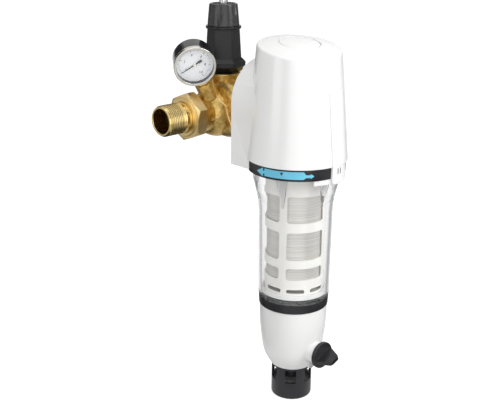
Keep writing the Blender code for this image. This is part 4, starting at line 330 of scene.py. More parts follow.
THREAD_PITCH = 0.0023
BRIGHT = ((0.86, 0.61, 0.22), (0.95, 0.74, 0.34))
BRASS_CAST = surface("cast_brass", ((0.5, 0.32, 0.09), (0.75, 0.52, 0.17), (0.9, 0.69, 0.3)), 0.42, 1.0, 260,
                     8, 0.12, 0.7, 1000, 0.0012)
BRASS_NUT = surface("nut_brass", ((0.8, 0.59, 0.26), (0.93, 0.73, 0.38)), 0.36, 1.0, 90, 6, 0.08, 0.35, 1200,
                    0.0006, stretch=(0.3, 1, 1))
BRASS_BRIGHT = surface("bright_brass", BRIGHT, 0.2, 1.0, 60, 4, 0.06, 0.08, 900, 0.0002)
# Lighter than the cast brass: a painted highlight along the ridge, the rib and the round mark
BRASS_SEAM_HIGHLIGHT = surface("seam_brass_highlight", ((0.85, 0.6, 0.24), (0.95, 0.75, 0.4)), 0.3, 1.0, 90, 4, 0.05, 0.2, 900, 0)
# Its bands are painted shade in the thread's grooves
BRASS_THREAD = surface("thread_brass", BRIGHT, 0.22, 1.0, 60, 4, 0.06, 0.08, 900, 0.0002, extra=thread_groove_shade)
RUBBER = surface("seal_rubber", ((0.02, 0.02, 0.02), (0.035, 0.035, 0.035)), 0.45)
STEEL = surface("bright_steel", ((0.55, 0.55, 0.54), (0.7, 0.7, 0.69)), 0.25, 1.0, 90)
SIEVE = surface("sieve_steel", ((0.62, 0.6, 0.56), (0.8, 0.78, 0.74)), 0.4, 0.6, 30, 5, 0.05, 0.3, 1500, 0,
                stretch=(0.4, 0.4, 26), extra=woven)
BONNET_BLACK = surface("bonnet_black", ((0.008, 0.008, 0.009), (0.016, 0.016, 0.018)), 0.3, 0, 70, 5, 0.06,
                       0.3, 800, 0.0009)
KNOB_GREY = surface("knob_grey", ((0.018, 0.018, 0.02), (0.03, 0.03, 0.032)), 0.25, 0, 70, 4, 0.05, 0.12, 900,
                    0.0007)
GAUGE_BLACK = surface("gauge_black", ((0.006, 0.006, 0.007), (0.012, 0.012, 0.013)), 0.1, 0, 50, 3, 0.03,
                      0.03, 300, 0.0006, 0.6)
CHROME = surface("bezel_chrome", ((0.74, 0.72, 0.66), (0.82, 0.8, 0.74)), 0.12, 1.0, 50, 3, 0.03, 0.03, 400)
DIAL_GLOWING = surface("dial_white", ((0.92, 0.925, 0.935), (0.96, 0.962, 0.97)), 0.5, 0, 40)
FIGURES = surface("dial_figures", ((0.12, 0.12, 0.16), (0.2, 0.2, 0.25)), 0.5, 0, 200, bevel=0)
PRINT = surface("dial_print", ((0.015, 0.015, 0.018), (0.03, 0.03, 0.035)), 0.5, 0, 200, bevel=0)
WHITE = surface("hood_white", ((0.86, 0.86, 0.855), (0.885, 0.885, 0.88)), 0.2, 0, 18, 3, 0.04, 0.03, 350,
                0.0007, 0.25)
CREAM = surface("cage_cream", ((0.9, 0.885, 0.84), (0.93, 0.92, 0.88)), 0.36, 0, 50, 3, 0.05, 0.06, 500,
                0.0005)
CHARCOAL = surface("charcoal", ((0.012, 0.012, 0.015), (0.022, 0.022, 0.026)), 0.36, 0, 60, 4, 0.05, 0.12,
                   900, 0.0005)
BLACK = surface("knob_black", ((0.008, 0.008, 0.01), (0.018, 0.018, 0.021)), 0.3, 0, 60, 4, 0.05, 0.2, 900,
                0.0006)
BLUE = surface("sticker_blue", ((0.13, 0.55, 0.76), (0.18, 0.6, 0.8)), 0.35, 0, 80, bevel=0)
BOWL = clear_plastic("bowl_clear", (0.99, 0.993, 0.996), 0.02, 1.45)
# The ribs' plastic is tinted greyer than the bowl's: painted shade for their darker look
RIB_SHADED = clear_plastic("rib_clear", (0.85, 0.85, 0.87), 0.03, 1.45)
LENS = clear_plastic("gauge_lens", (0.98, 0.99, 1.0), 0.02, 1.4)
with_values(BONNET_BLACK, {"Specular IOR Level": 0.28})
# The dial glows a little though it is no lamp: painted light that brightens it behind its lens
with_values(DIAL_GLOWING, {"Emission Color": (1, 1, 1, 1), "Emission Strength": 0.14})


def piece(item, body, slot, material, *replaced):
    item.data.materials.clear()
    item.data.materials.append(material)
    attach(item, body)
    if replaced:
        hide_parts(*replaced)
    return item


def dress(name, material):
    """A CAD node keeps its shape and gets a better finish and smooth round faces."""
    item = NODES[name]
    item.data.materials.clear()
    item.data.materials.append(material)
    for face in item.data.polygons:
        face.use_smooth = True
    if "custom_normal" in item.data.attributes:
        item.data.attributes.remove(item.data.attributes["custom_normal"])
    weld = item.modifiers.new("Weld", "WELD")
    weld.merge_threshold = 0.00001
    split = item.modifiers.new("Split", "EDGE_SPLIT")
    split.split_angle = math.radians(SMOOTH)


# Hood

HOOD_RIM_Z = -0.0312
HOOD_RIM_R = 0.0526
HOOD_TOP_Z = 0.0825
HOOD_TOP_R = 0.0432
HOOD_EDGE_R = 0.0026
HOOD_CROWN = 0.005
HOOD_WALL = 0.0025
SLOPE = math.tan(math.radians(8.0))
SIDE_SLOPE = math.tan(math.radians(3.0))
BUTTON_R = 0.0206
BUTTON_RECESS = 0.0014
GAP = 0.0003
STRIP_HALF = 0.0122
STRIP_TURN = math.radians(8.2)
STRIP_TOP_Z = 0.0495
STRIP_RAISE = 0.0006
COWL_HALF = 0.045
COWL_ARCH_Z = 0.022
COWL_BOTTOM_Z = -0.0415
COWL_BACK_Y = -0.0603
COWL_WALL = 0.002
RING_R = 0.0507
RING_TOP_Z = -0.0315
RING_BOTTOM_Z = -0.0435
TONGUE_BOTTOM_Z = -0.0495
TONGUE_HALF = 0.0119
TONGUE_CORNER = 0.004
NO_CORNER = 0.00001
TONGUE_SLOTS = (4.2, 8.4)
SLOT_ROWS = [(-0.0335, 0.0004), (-0.0395, 0.0004)]
TAB_HALF = 0.0092
TAB_TURN = math.radians(-16)


def hood_radius(z):
    return HOOD_RIM_R + (HOOD_TOP_R - HOOD_RIM_R) * (z - HOOD_RIM_Z) / (HOOD_TOP_Z - HOOD_RIM_Z)


def crown(radius):
    edge = HOOD_TOP_R - HOOD_EDGE_R
    return HOOD_TOP_Z + HOOD_CROWN * (1 - (radius / edge) ** 2)


def slope_top(item):
    """Tips what lies above the rim, more with height."""
    for point in item.data.vertices:
        share = (point.co.z - HOOD_RIM_Z) / (HOOD_TOP_Z - HOOD_RIM_Z)
        point.co.z += (SLOPE * (point.co.y - FILTER_Y) + SIDE_SLOPE * point.co.x) * share
    return item


def hood_form(name, offset, drop, low):
    """The hood's outside, moved in or out by an offset and lowered by a drop."""
    edge = HOOD_TOP_R - HOOD_EDGE_R
    radii = [edge * step / 10 for step in range(10)]
    heights = [HOOD_TOP_Z + (low - HOOD_TOP_Z) * step / 5 for step in range(1, 5)] + [low]
    profile = [(radius, crown(radius) - drop) for radius in radii]
    profile += arc((edge + offset, HOOD_TOP_Z - drop - HOOD_EDGE_R), HOOD_EDGE_R, 90, 0, 8)
    profile += [(hood_radius(z) + offset, z) for z in heights] + [(0, low)]
    return slope_top(turned(name, profile, FINE, FILTER))


def arch(name, half, low, back_y):
    outline = [(half, low)] + arc((0, COWL_ARCH_Z), half, 0, 180, 48) + [(-half, low)]
    return extruded(name, outline, -back_y, -FILTER_Y, FORWARD)


def make_hood():
    shell = hood_form("hood_shell", 0, 0, HOOD_RIM_Z)
    cowl = arch("cowl", COWL_HALF, COWL_BOTTOM_Z, COWL_BACK_Y)
    cut(cowl, cylinder("room", RING_R + 2 * GAP, COWL_BOTTOM_Z - OVERCUT, HOOD_RIM_Z, FINE, FILTER))
    add(shell, cowl)
    cut(shell, hood_form("cavity", -HOOD_WALL, HOOD_WALL, HOOD_RIM_Z - OVERCUT),
        arch("cowl_room", COWL_HALF - HOOD_WALL, COWL_BOTTOM_Z - OVERCUT, COWL_BACK_Y + COWL_WALL))
    floor = crown(BUTTON_R) - BUTTON_RECESS
    cut(shell, slope_top(cylinder("recess", BUTTON_R + 0.0009, floor, HOOD_TOP_Z + 0.01, FINE, FILTER)))
    piece(shell, FIXED, "hood_white", WHITE, "hood")
    make_strip()
    radii = [(BUTTON_R - 0.0005) * step / 6 for step in range(7)]
    profile = [(radius, crown(radius) - GAP) for radius in radii]
    profile += [(BUTTON_R, crown(BUTTON_R) - GAP - 0.0005), (BUTTON_R, floor + GAP), (0, floor + GAP)]
    button = slope_top(turned("top_disc", profile, FINE, FILTER))
    piece(button, FIXED, "hood_white", WHITE, "hood_button")


def sloped(z, radius, angle):
    """Height of a point of the hood's side after its top is tipped."""
    share = (z - HOOD_RIM_Z) / (HOOD_TOP_Z - HOOD_RIM_Z)
    return z + (SIDE_SLOPE * math.sin(angle) - SLOPE * math.cos(angle)) * radius * share


def strip_rows(half, top, bottom, corner_top, corner_bottom, count=60):
    """Left and right edges of a strip that runs down the hood's front, row by row."""
    rows = []
    for step in range(count + 1):
        z = top + (bottom - top) * step / count
        width = half
        if top - z < corner_top:
            width = half * (0.35 + 0.65 * math.sqrt(max(0, 1 - ((corner_top - (top - z)) / corner_top) ** 2)))
        if z - bottom < corner_bottom:
            room = corner_bottom - (z - bottom)
            width = half - corner_bottom + math.sqrt(max(0, corner_bottom ** 2 - room ** 2))
        rows.append((z, width))
    return rows


def wrapped_strip(name, rows, outer, inner, columns=12, turn=STRIP_TURN):
    """A solid strip between two radii, following the hood's slope."""
    sections = []
    for z, width in rows:
        section = []
        for radius, order in ((outer(z), range(columns + 1)), (inner(z), range(columns, -1, -1))):
            for column in order:
                angle = turn + (2 * column / columns - 1) * width / radius
                height = sloped(z, radius, angle) if z > HOOD_RIM_Z else z
                section.append((radius * math.sin(angle), FILTER_Y - radius * math.cos(angle), height))
        sections.append(section)
    return lofted(name, sections, UP, 40)


def make_strip():
    """Raised strip down the front, tongue over the ring with two slots, and tab under the ring."""
    face = HOOD_RIM_R + STRIP_RAISE
    rows = strip_rows(STRIP_HALF, STRIP_TOP_Z, HOOD_RIM_Z + 0.0004, 0.003, NO_CORNER)
    strip = wrapped_strip("front_strip", rows, lambda z: hood_radius(z) + STRIP_RAISE,
                          lambda z: hood_radius(z) - 0.0004)
    piece(strip, FIXED, "hood_white", WHITE)
    rows = strip_rows(TONGUE_HALF, HOOD_RIM_Z + 0.0006, TONGUE_BOTTOM_Z, NO_CORNER, TONGUE_CORNER, 30)
    tongue = wrapped_strip("front_tongue", rows, lambda z: face - GAP, lambda z: RING_R + GAP)
    piece(tongue, FIXED, "hood_white", WHITE)
    rows = [(RING_BOTTOM_Z - GAP, TAB_HALF), (TONGUE_BOTTOM_Z + 0.0006, TAB_HALF)]
    tab = wrapped_strip("front_tab", rows, lambda z: RING_R - 0.0006, lambda z: RING_R - 0.0036, 12, TAB_TURN)
    piece(tab, FIXED, "hood_white", WHITE)
    for number, turn in enumerate(TONGUE_SLOTS, 1):
        slot = wrapped_strip("tongue_slot_" + str(number), SLOT_ROWS, lambda z: face,
                             lambda z: HOOD_RIM_R - GAP, 1, math.radians(turn))
        piece(slot, FIXED, "charcoal", CHARCOAL)


make_hood()


# Lock ring and its sticker

RING_LIP_R = 0.0459
RING_BORE = 0.0475
RING_LIP_Z = -0.0417
# Sticker: degrees from the front, and heights in mm
ARROW = [(-98.8, -37.8), (-88.6, -32.9), (-88.6, -36.0), (-86.3, -36.0), (-86.3, -33.4), (-39.0, -33.4),
         (-36.5, -36.6), (-31.2, -36.6), (-31.2, -35.4), (-26.8, -38.0), (-31.2, -40.6), (-31.2, -39.4),
         (-36.5, -39.4), (-39.0, -41.2), (-86.3, -41.2), (-86.3, -38.9), (-88.6, -38.9), (-88.6, -42.2)]
ARROW_MARK = [(-66.2, -34.8), (-62.2, -34.8), (-64.2, -37.9)]


def make_ring():
    profile = [(RING_BORE, RING_TOP_Z), (RING_R, RING_TOP_Z), (RING_R, RING_BOTTOM_Z),
               (RING_LIP_R, RING_BOTTOM_Z), (RING_LIP_R, RING_LIP_Z), (RING_BORE, RING_LIP_Z)]
    ring = turned("lock_ring_fine", rounded(profile, 0.0004), FINE, FILTER)
    piece(ring, "locking_ring", "charcoal", CHARCOAL, "lock_ring")
    sticker("flow_arrow", ARROW, 0.00012, BLUE)
    sticker("flow_mark", ARROW_MARK, 0.0002, PRINT)


def sticker(name, outline, lift, material):
    """A thin label wrapped round the ring."""
    bm = bmesh.new()
    sides = [bm.verts.new((math.radians(a), h / 1000, 0)) for a, h in outline]
    bm.faces.new(sides)
    for step in range(-110, 20, 2):
        geometry = bm.verts[:] + bm.edges[:] + bm.faces[:]
        bmesh.ops.bisect_plane(bm, geom=geometry, plane_co=(math.radians(step), 0, 0), plane_no=(1, 0, 0))
    extra = bmesh.ops.extrude_face_region(bm, geom=bm.faces[:])
    for item in extra["geom"]:
        if isinstance(item, bmesh.types.BMVert):
            item.co.z = 1
    for vert in bm.verts:
        angle, height, outside = vert.co
        reach = RING_R + (lift if outside else -0.00005)
        vert.co = (reach * math.sin(angle), FILTER_Y - reach * math.cos(angle), height)
    piece(to_object(name, bm, UP, 30), "locking_ring", "charcoal", material)


make_ring()

# Bowl

BOWL_TOP = (0.0425, -0.0305)
BOWL_FLANGE = (0.0472, -0.0379, -0.0414)
BOWL_OUTER = [(0.0455, -0.0414), (0.0455, -0.0527), (0.0421, -0.0651), (0.0399, -0.0752), (0.039, -0.0889),
              (0.0382, -0.1838)]
BOWL_WALL = 0.003
BOWL_SPIGOT = (0.035, -0.1998)
BOWL_FOOT_R = 0.0316
CAMERA_AZIMUTH = -44.3
# Ribs under the flange: angles from the camera, side outline, half widths at the tip and added up to the top
RIB_ANGLES = (-82, -22, 38, 98, 158, 218)
RIB_SIDE = ((0.0414, -0.0440), (0.0448, -0.0440), (0.0448, -0.0535), (0.0402, -0.0760), (0.0394, -0.0760))
RIB_TIP_HALF = 0.0008
RIB_WIDENING = 0.0052


def make_bowl():
    radius, top = BOWL_TOP
    flange, flange_top, flange_low = BOWL_FLANGE
    spigot, end = BOWL_SPIGOT
    low = BOWL_OUTER[-1][1]
    outer = [(radius, top), (radius, flange_top), (flange, flange_top), (flange, flange_low)] + BOWL_OUTER
    outer += [(spigot, low), (spigot, end)]
    inner = [(BOWL_FOOT_R, end), (BOWL_FOOT_R, low + BOWL_WALL)]
    inner += [(r - BOWL_WALL, z) for r, z in reversed(BOWL_OUTER[2:])]
    inner[2] = (BOWL_OUTER[-1][0] - BOWL_WALL, low + BOWL_WALL)
    inner += [(radius - BOWL_WALL, BOWL_OUTER[1][1]), (radius - BOWL_WALL, top)]
    bowl = turned("bowl_fine", rounded(outer + inner, 0.0012), FINE, FILTER, 0, 30)
    piece(bowl, FIXED, "bowl_clear", BOWL, "bowl")
    top, tip = RIB_SIDE[0][1], RIB_SIDE[-1][1]
    sections = [(r, z, RIB_TIP_HALF + RIB_WIDENING * (z - tip) / (top - tip)) for r, z in RIB_SIDE]
    for number, angle in enumerate(RIB_ANGLES, 1):
        make_rib("bowl_rib_" + str(number), sections, math.radians(angle + CAMERA_AZIMUTH))


def make_rib(name, sections, angle):
    sides = [[(sign * half, -radius, z) for radius, z, half in sections] for sign in (-1, 1)]
    rib = lofted(name, sides, FILTER @ Matrix.Rotation(angle, 4, "Z"), 20)
    piece(rib, FIXED, "bowl_clear", RIB_SHADED)


make_bowl()

# Filter insert

CAGE_R = 0.032
CAGE_WALL = 0.0016
CAGE_TOP = -0.0475
CAGE_BOTTOM = -0.1755
CAGE_TURN = math.radians(20.2)
CAGE_ROWS = ((-0.0640, -0.0943), (-0.1045, -0.1350), (-0.1442, -0.1572))
CAGE_WINDOW_HALF = math.radians(37.5)
CAGE_FLOOR = 0.002
CAGE_SLOT = (-0.1677, -0.1721, 0.0182)
CAGE_SLOT_TURN = math.radians(-44.0)
CAGE_SLOTS = 8
SIEVE_ENDS = (-0.0575, -0.1635)
SIEVE_WALL = 0.0008
TUBE_HOLE = 0.0085


def rounded_outline(half_width, half_height, radius):
    points = []
    for x, y, start in ((1, 1, 0), (-1, 1, 90), (-1, -1, 180), (1, -1, 270)):
        points += arc((x * (half_width - radius), y * (half_height - radius)), radius, start, start + 90, 6)
    return points


def radial_window(half_width, top, bottom, corner, angle, near, far):
    place = Matrix.Translation((0, FILTER_Y, (top + bottom) / 2)) @ Matrix.Rotation(angle, 4, "Z") @ FORWARD
    return extruded("opening", rounded_outline(half_width, (top - bottom) / 2, corner), near, far, place)


def make_insert():
    inner, far = CAGE_R - CAGE_WALL, CAGE_R + OVERCUT
    profile = [(TUBE_HOLE, CAGE_TOP), (CAGE_R, CAGE_TOP), (CAGE_R, CAGE_BOTTOM), (TUBE_HOLE, CAGE_BOTTOM),
               (TUBE_HOLE, CAGE_BOTTOM + CAGE_FLOOR), (inner, CAGE_BOTTOM + CAGE_FLOOR),
               (inner, CAGE_TOP - CAGE_FLOOR), (TUBE_HOLE, CAGE_TOP - CAGE_FLOOR)]
    cage = turned("cage_fine", profile, MEDIUM, FILTER)
    half = CAGE_R * math.sin(CAGE_WINDOW_HALF)
    for column in range(4):
        turn = CAGE_TURN + math.pi / 4 + math.pi / 2 * column
        for top, bottom in CAGE_ROWS:
            cut(cage, radial_window(half, top, bottom, 0.003, turn, CAGE_R - 0.013, far))
    top, bottom, width = CAGE_SLOT
    for column in range(CAGE_SLOTS):
        turn = CAGE_SLOT_TURN + 2 * math.pi * column / CAGE_SLOTS
        cut(cage, radial_window(width / 2, top, bottom, 0.0015, turn, CAGE_R - 0.0095, far))
    piece(cage, "insert", "cage_cream", CREAM, "filter_cage")
    sieve = turned("sieve", box(inner - GAP - SIEVE_WALL, inner - GAP, *SIEVE_ENDS), MEDIUM, FILTER)
    piece(sieve, "insert", "steel", SIEVE, "filter_mesh")
    dress("filter_tube", CREAM)


make_insert()

# Base ring, bell and outlet

BELL = [(0.0353, -0.1944), (0.0368, -0.1944), (0.0361, -0.2180), (0.0333, -0.2426), (0.0301, -0.2549),
        (0.0236, -0.2665)]
BELL_BORE = 0.0132
BELL_ROOM = 0.030
BELL_SOCKET = 0.0353
BOSS_R = 0.0135
BOSS_BACK = 0.0207
BOSS_FACE = 0.0325
BOSS_COLLAR = 0.0405
LUG_Z = -0.2625
BASE_RING_BORE = 0.0366
BASE_RING_ENDS = (-0.1841, -0.1938)
CAGE_SEAT = (0.0325, 0.0350, -0.1742, -0.1786)
OUTLET_R = 0.0222
OUTLET_HOLE = 0.0118
OUTLET_TOP = -0.2668
OUTLET_ROOF = -0.2692
OUTLET_BOTTOM = -0.3040
OUTLET_SLOT = (-0.2695, -0.2850)
NOZZLE = [(0.0099, -0.2582), (0.0129, -0.2582), (0.0129, -0.2665), (0.0115, -0.2665), (0.0115, -0.2830),
          (0.0099, -0.2830)]
KNOB_DISC = (0.0146, 0.0415, 0.0457)
KNOB_HUB = (0.0072, 0.0338)
FIN_FOOT = 0.0436
FIN_TIP = 0.0627
FIN_TURN = math.radians(20)


def make_bell():
    top, foot = BELL[0][1], BELL[-1][1]
    profile = [BELL[0], (0.0363, top), (0.0368, top - 0.0005)] + smooth_curve(BELL[1:])[1:]
    profile += [(BELL_BORE, foot), (BELL_BORE, -0.2298), (0.0085, -0.2298), (0.0085, -0.2215),
                (BELL_ROOM, -0.2215), (BELL_ROOM, -0.2001), (BELL_SOCKET, -0.2001)]
    bell = turned("bell", profile, FINE, FILTER)
    boss = [(0, BOSS_COLLAR), (BOSS_R - 0.0015, BOSS_COLLAR), (BOSS_R, BOSS_BACK), (0, BOSS_BACK)]
    lug = Matrix.Translation((0, FILTER_Y, LUG_Z)) @ FORWARD
    add(bell, turned("boss", rounded(boss, 0.0012), ROUND, VALVE, 0.02),
        cylinder("lug", 0.0034, BOSS_BACK, 0.0285, 32, lug))
    cut(bell, cylinder("stem_bore", 0.0066, 0.008, BOSS_FACE + OVERCUT, 48, VALVE),
        cylinder("hub_room", 0.0080, BOSS_FACE, BOSS_COLLAR + OVERCUT, 48, VALVE))
    piece(bell, FIXED, "hood_white", WHITE, "drain_housing")
    high, low = BASE_RING_ENDS
    collar = turned("bell_collar", box(BELL_SOCKET, BASE_RING_BORE, high, low), FINE, FILTER)
    piece(collar, FIXED, "hood_white", WHITE)
    profile = [(BASE_RING_BORE, high), (0.0379, high), (0.0374, low), (BASE_RING_BORE, low)]
    ring = turned("base_ring_fine", rounded(profile, 0.0003), FINE, FILTER)
    piece(ring, FIXED, "charcoal", CHARCOAL, "base_ring")
    piece(turned("cage_seat", box(*CAGE_SEAT), FINE, FILTER), FIXED, "hood_white", WHITE)


def make_outlet():
    inner = OUTLET_R - 0.0025
    profile = [(OUTLET_HOLE, OUTLET_TOP), (OUTLET_R - 0.0006, OUTLET_TOP), (OUTLET_R, OUTLET_TOP - 0.0006)]
    profile += arc((OUTLET_R - 0.001, OUTLET_BOTTOM + 0.001), 0.001, 0, -90, 6)
    profile += [(inner, OUTLET_BOTTOM), (inner, OUTLET_ROOF), (OUTLET_HOLE, OUTLET_ROOF)]
    cup = turned("outlet_fine", profile, FINE, FILTER)
    half = OUTLET_R * math.sin(math.radians(16))
    for slot in range(6):
        turn = math.radians(-50 + 60 * slot)
        cut(cup, radial_window(half, *OUTLET_SLOT, 0.001, turn, inner / 2, OUTLET_R + OVERCUT))
    piece(cup, FIXED, "charcoal", CHARCOAL, "drain_outlet")
    nozzle = turned("nozzle_fine", rounded(NOZZLE, 0.0003), ROUND, FILTER)
    piece(nozzle, FIXED, "charcoal", CHARCOAL, "outlet_nozzle")


def make_drain_knob():
    radius, low, top = KNOB_DISC
    hub, hub_low = KNOB_HUB
    profile = [(0, hub_low), (hub, hub_low), (hub, low), (radius, low), (radius, top), (0, top)]
    knob = turned("valve_knob", rounded(profile, 0.0009), ROUND, VALVE, 0.02)
    outline = [(-0.0138, -FIN_FOOT), (0.0138, -FIN_FOOT)]
    outline += arc((0.0035, 0.004 - FIN_TIP), 0.004, -15, -90, 10)
    outline += arc((-0.0035, 0.004 - FIN_TIP), 0.004, -90, -165, 10)
    place = Matrix.Translation((0, FILTER_Y, VALVE_Z)) @ Matrix.Rotation(-FIN_TURN, 4, "Y")
    add(knob, extruded("fin", outline, -0.0021, 0.0021, place))
    room = 0.0031
    square = [(room, room), (-room, room), (-room, -room), (room, -room)]
    cut(knob, extruded("room", square, 0.030, 0.0418, VALVE @ Matrix.Rotation(FIN_TURN, 4, "Z")))
    piece(knob, "drain_valve", "knob_black", BLACK, "drain_knob")


make_bell()
make_outlet()
make_drain_knob()

# Connection body

PORT_X = 0.0505
PORT_R = 0.0205
NECK_R = 0.0196
CHEEK_R = 0.028
CHEEK_X = 0.010
PORT_STEP = 0.0085
BODY_BORE = 0.012
# Half width, lowest and highest height and corner of the body's middle and of its neck
CORE = (0.019, -0.0265, 0.036, 0.010)
NECK = (0.0245, -0.0245, 0.0245, 0.0242)
CHAMBER = [(0, 0.042), (0.0205, 0.042), (0.021, 0.0415), (0.0178, 0.030), (0.0178, 0), (0, 0)]
FLANGE_BACK = -0.0625
FLANGE_FRONT = -0.0715
FLANGE_R = 0.037
FLANGE_HALF = 0.0258
HEXAGON_TOP = -0.0265
GAUGE_CENTRE = (-0.0477, -0.0060, 0.0585)
GAUGE_TURN = math.radians(37.6)
BOSS_LEAN = math.radians(30)
BOSS_AIM = Vector((-math.sin(BOSS_LEAN), 0, math.cos(BOSS_LEAN)))


def gauge_axes(up, ahead):
    """Frame at the gauge's middle with its Y and Z along the two directions."""
    return Matrix.Translation(GAUGE_CENTRE) @ Matrix((up.cross(ahead), up, ahead)).transposed().to_4x4()


def gauge_frame():
    across = Vector((-math.cos(BOSS_LEAN), 0, -math.sin(BOSS_LEAN)))
    return gauge_axes(BOSS_AIM, math.cos(GAUGE_TURN) * Vector((0, -1, 0)) + math.sin(GAUGE_TURN) * across)


def boss_frame():
    return gauge_axes(Vector((0, 1, 0)), BOSS_AIM)


def rounded_ring(half, low, high, corner, y):
    """Upright rounded rectangle at one depth."""
    ring = []
    for x, z, start in ((half - corner, high - corner, 0), (corner - half, high - corner, 90),
                        (corner - half, low + corner, 180), (half - corner, low + corner, 270)):
        ring += [(a, y, b) for a, b in arc((x, z), corner, start, start + 90, 12)]
    return ring


def make_body():
    half = [(PORT_R - 0.001, PORT_X), (PORT_R, PORT_X - 0.001), (PORT_R, PORT_X - PORT_STEP),
            (NECK_R, PORT_X - PORT_STEP - 0.0013)]
    start = math.asin(NECK_R / CHEEK_R)
    for step in range(17):
        angle = start + (math.pi / 2 - start) * step / 16
        half.append((CHEEK_R * math.sin(angle), CHEEK_X + CHEEK_R * math.cos(angle)))
    profile = [(0, PORT_X)] + half + [(radius, -x) for radius, x in reversed(half)] + [(0, -PORT_X)]
    body = turned("brass_body", profile, MEDIUM, RIGHT)
    middle = [(a + b) / 2 for a, b in zip(CORE, NECK)]
    rings = ((CORE, 0.005), (CORE, -0.019), (middle, -0.0362), (NECK, -0.0535), (NECK, -0.067))
    slope = math.degrees(math.asin(FLANGE_HALF / FLANGE_R))
    plate = arc((0, 0), FLANGE_R, -slope, slope, 24) + arc((0, 0), FLANGE_R, 180 - slope, 180 + slope, 24)
    add(body, lofted("core", [rounded_ring(*form, y) for form, y in rings]),
        turned("chamber", CHAMBER, MEDIUM), extruded("flange", plate, -FLANGE_BACK, -FLANGE_FRONT, FORWARD))
    top = HEXAGON_TOP
    for place in (boss_frame(), Matrix.Rotation(math.pi, 4, "Z") @ boss_frame()):
        hexagon = turned("hexagon", box(0, 0.0105, top, top - 0.019), 6, place, math.radians(15))
        rim = [(0, top + 0.001), (0.0092, top + 0.0001), (0.0108, top - 0.0012), (0.0108, top - 0.021),
               (0, top - 0.021)]
        combine(hexagon, turned("hexagon_rim", rim, 48, place), "INTERSECT")
        add(body, hexagon)
        cut(body, cylinder("boss_bore", 0.0066, top - 0.0095, top + OVERCUT, 32, place))
    cut(body, cylinder("left_bore", BODY_BORE, 0.0068, PORT_X + OVERCUT, 64, LEFT),
        cylinder("right_bore", BODY_BORE, 0, PORT_X + OVERCUT, 64, RIGHT),
        cylinder("chamber_bore", 0.0145, 0.0165, 0.044, 64))
    piece(body, FIXED, "cast_brass", BRASS_CAST, "connection_body")


def sweep(name, points, thick):
    """A round bar along a line of points."""
    rings = []
    for index, point in enumerate(points):
        ahead = (points[min(index + 1, len(points) - 1)] - points[max(index - 1, 0)]).normalized()
        side = ahead.orthogonal() if abs(ahead.x) > 0.9 else ahead.cross(Vector((1, 0, 0)))
        side.normalize()
        up = side.cross(ahead)
        angles = [2 * math.pi * step / BAR_SIDES for step in range(BAR_SIDES)]
        rings.append([point + thick * (side * math.cos(angle) + up * math.sin(angle)) for angle in angles])
    return lofted(name, rings, UP, 60)


SEAM = [(-0.0287, -0.0140, 0.0364), (-0.0263, -0.0144, 0.0288), (-0.0232, -0.0148, 0.0204),
        (-0.0221, -0.0200, 0.0149), (-0.0200, -0.0254, 0.0100), (-0.0206, -0.0289, 0.0029),
        (-0.0209, -0.0309, -0.0017), (-0.0214, -0.0340, -0.0059), (-0.0215, -0.0357, -0.0098),
        (-0.0201, -0.0327, -0.0156)]
SEAM_END = (-0.0202, -0.0268, 0.0098)
RIB_MARK = [(-0.0350, -0.0191, -0.0041), (-0.0292, -0.0200, -0.0021), (-0.0254, -0.0232, 0.0006)]


def make_casting_marks():
    """Parting ridge of the casting with the small round mark on it, and a short rib beside it, in lighter
    brass that paints their highlight.
    """
    for side, turn in (("left", UP), ("right", Matrix.Scale(-1, 4, (1, 0, 0)))):
        seam = sweep("casting_seam_" + side, [turn @ p for p in smooth_curve(SEAM)], 0.0012)
        rib = sweep("casting_rib_" + side, [turn @ p for p in smooth_curve(RIB_MARK)], 0.0006)
        mark = turned("casting_mark_" + side, arc((0, 0), 0.0015, 90, -90, 10), 16,
                      Matrix.Translation(turn @ Vector(SEAM_END)))
        for item in (seam, rib, mark):
            piece(item, FIXED, "cast_brass", BRASS_SEAM_HIGHLIGHT)


NUT_HEX = 0.046 / 2 / math.cos(math.radians(30))
NUT_FRONT = PORT_X + 0.0086 + GAP
NUT_BACK = NUT_FRONT - 0.0154
TAIL_END = NUT_FRONT + 0.0296
TAIL_R = 0.0166
TAIL_BORE = 0.0133
COLLAR_X = PORT_X + 0.0026
COLLAR_R = 0.0196
NUT_FACE_R = 0.0208
NUT_EDGE_R = 0.023
NUT_BEVEL = 0.0022
NUT_TURN = math.radians(7.7)
THREAD_START = NUT_FRONT + 0.0065
THREAD_DEPTH = 0.0011


def make_nut(name, place, turn, node_name):
    nut = turned(name, box(0, NUT_HEX, NUT_FRONT, NUT_BACK), 6, place, turn)
    front, outside = NUT_FRONT - NUT_BEVEL, NUT_HEX + 0.0003
    rim = [(0, NUT_FRONT), (0.0203, NUT_FRONT), (NUT_FACE_R, NUT_FRONT - 0.0004),
           (NUT_FACE_R, front + 0.0002), (NUT_EDGE_R, front), (outside, front - NUT_BEVEL),
           (outside, NUT_BACK + NUT_BEVEL), (NUT_EDGE_R, NUT_BACK), (0, NUT_BACK)]
    combine(nut, turned("nut_rim", rim, MEDIUM, place), "INTERSECT", 25)
    cut(nut, cylinder("thread_room", PORT_R + GAP, NUT_BACK - OVERCUT, NUT_FRONT - 0.003, MEDIUM, place),
        cylinder("tail_room", TAIL_R + GAP, NUT_FRONT - 0.005, NUT_FRONT + OVERCUT, MEDIUM, place))
    soften(nut, 25)
    piece(nut, FIXED, "nut_brass", BRASS_NUT, node_name)


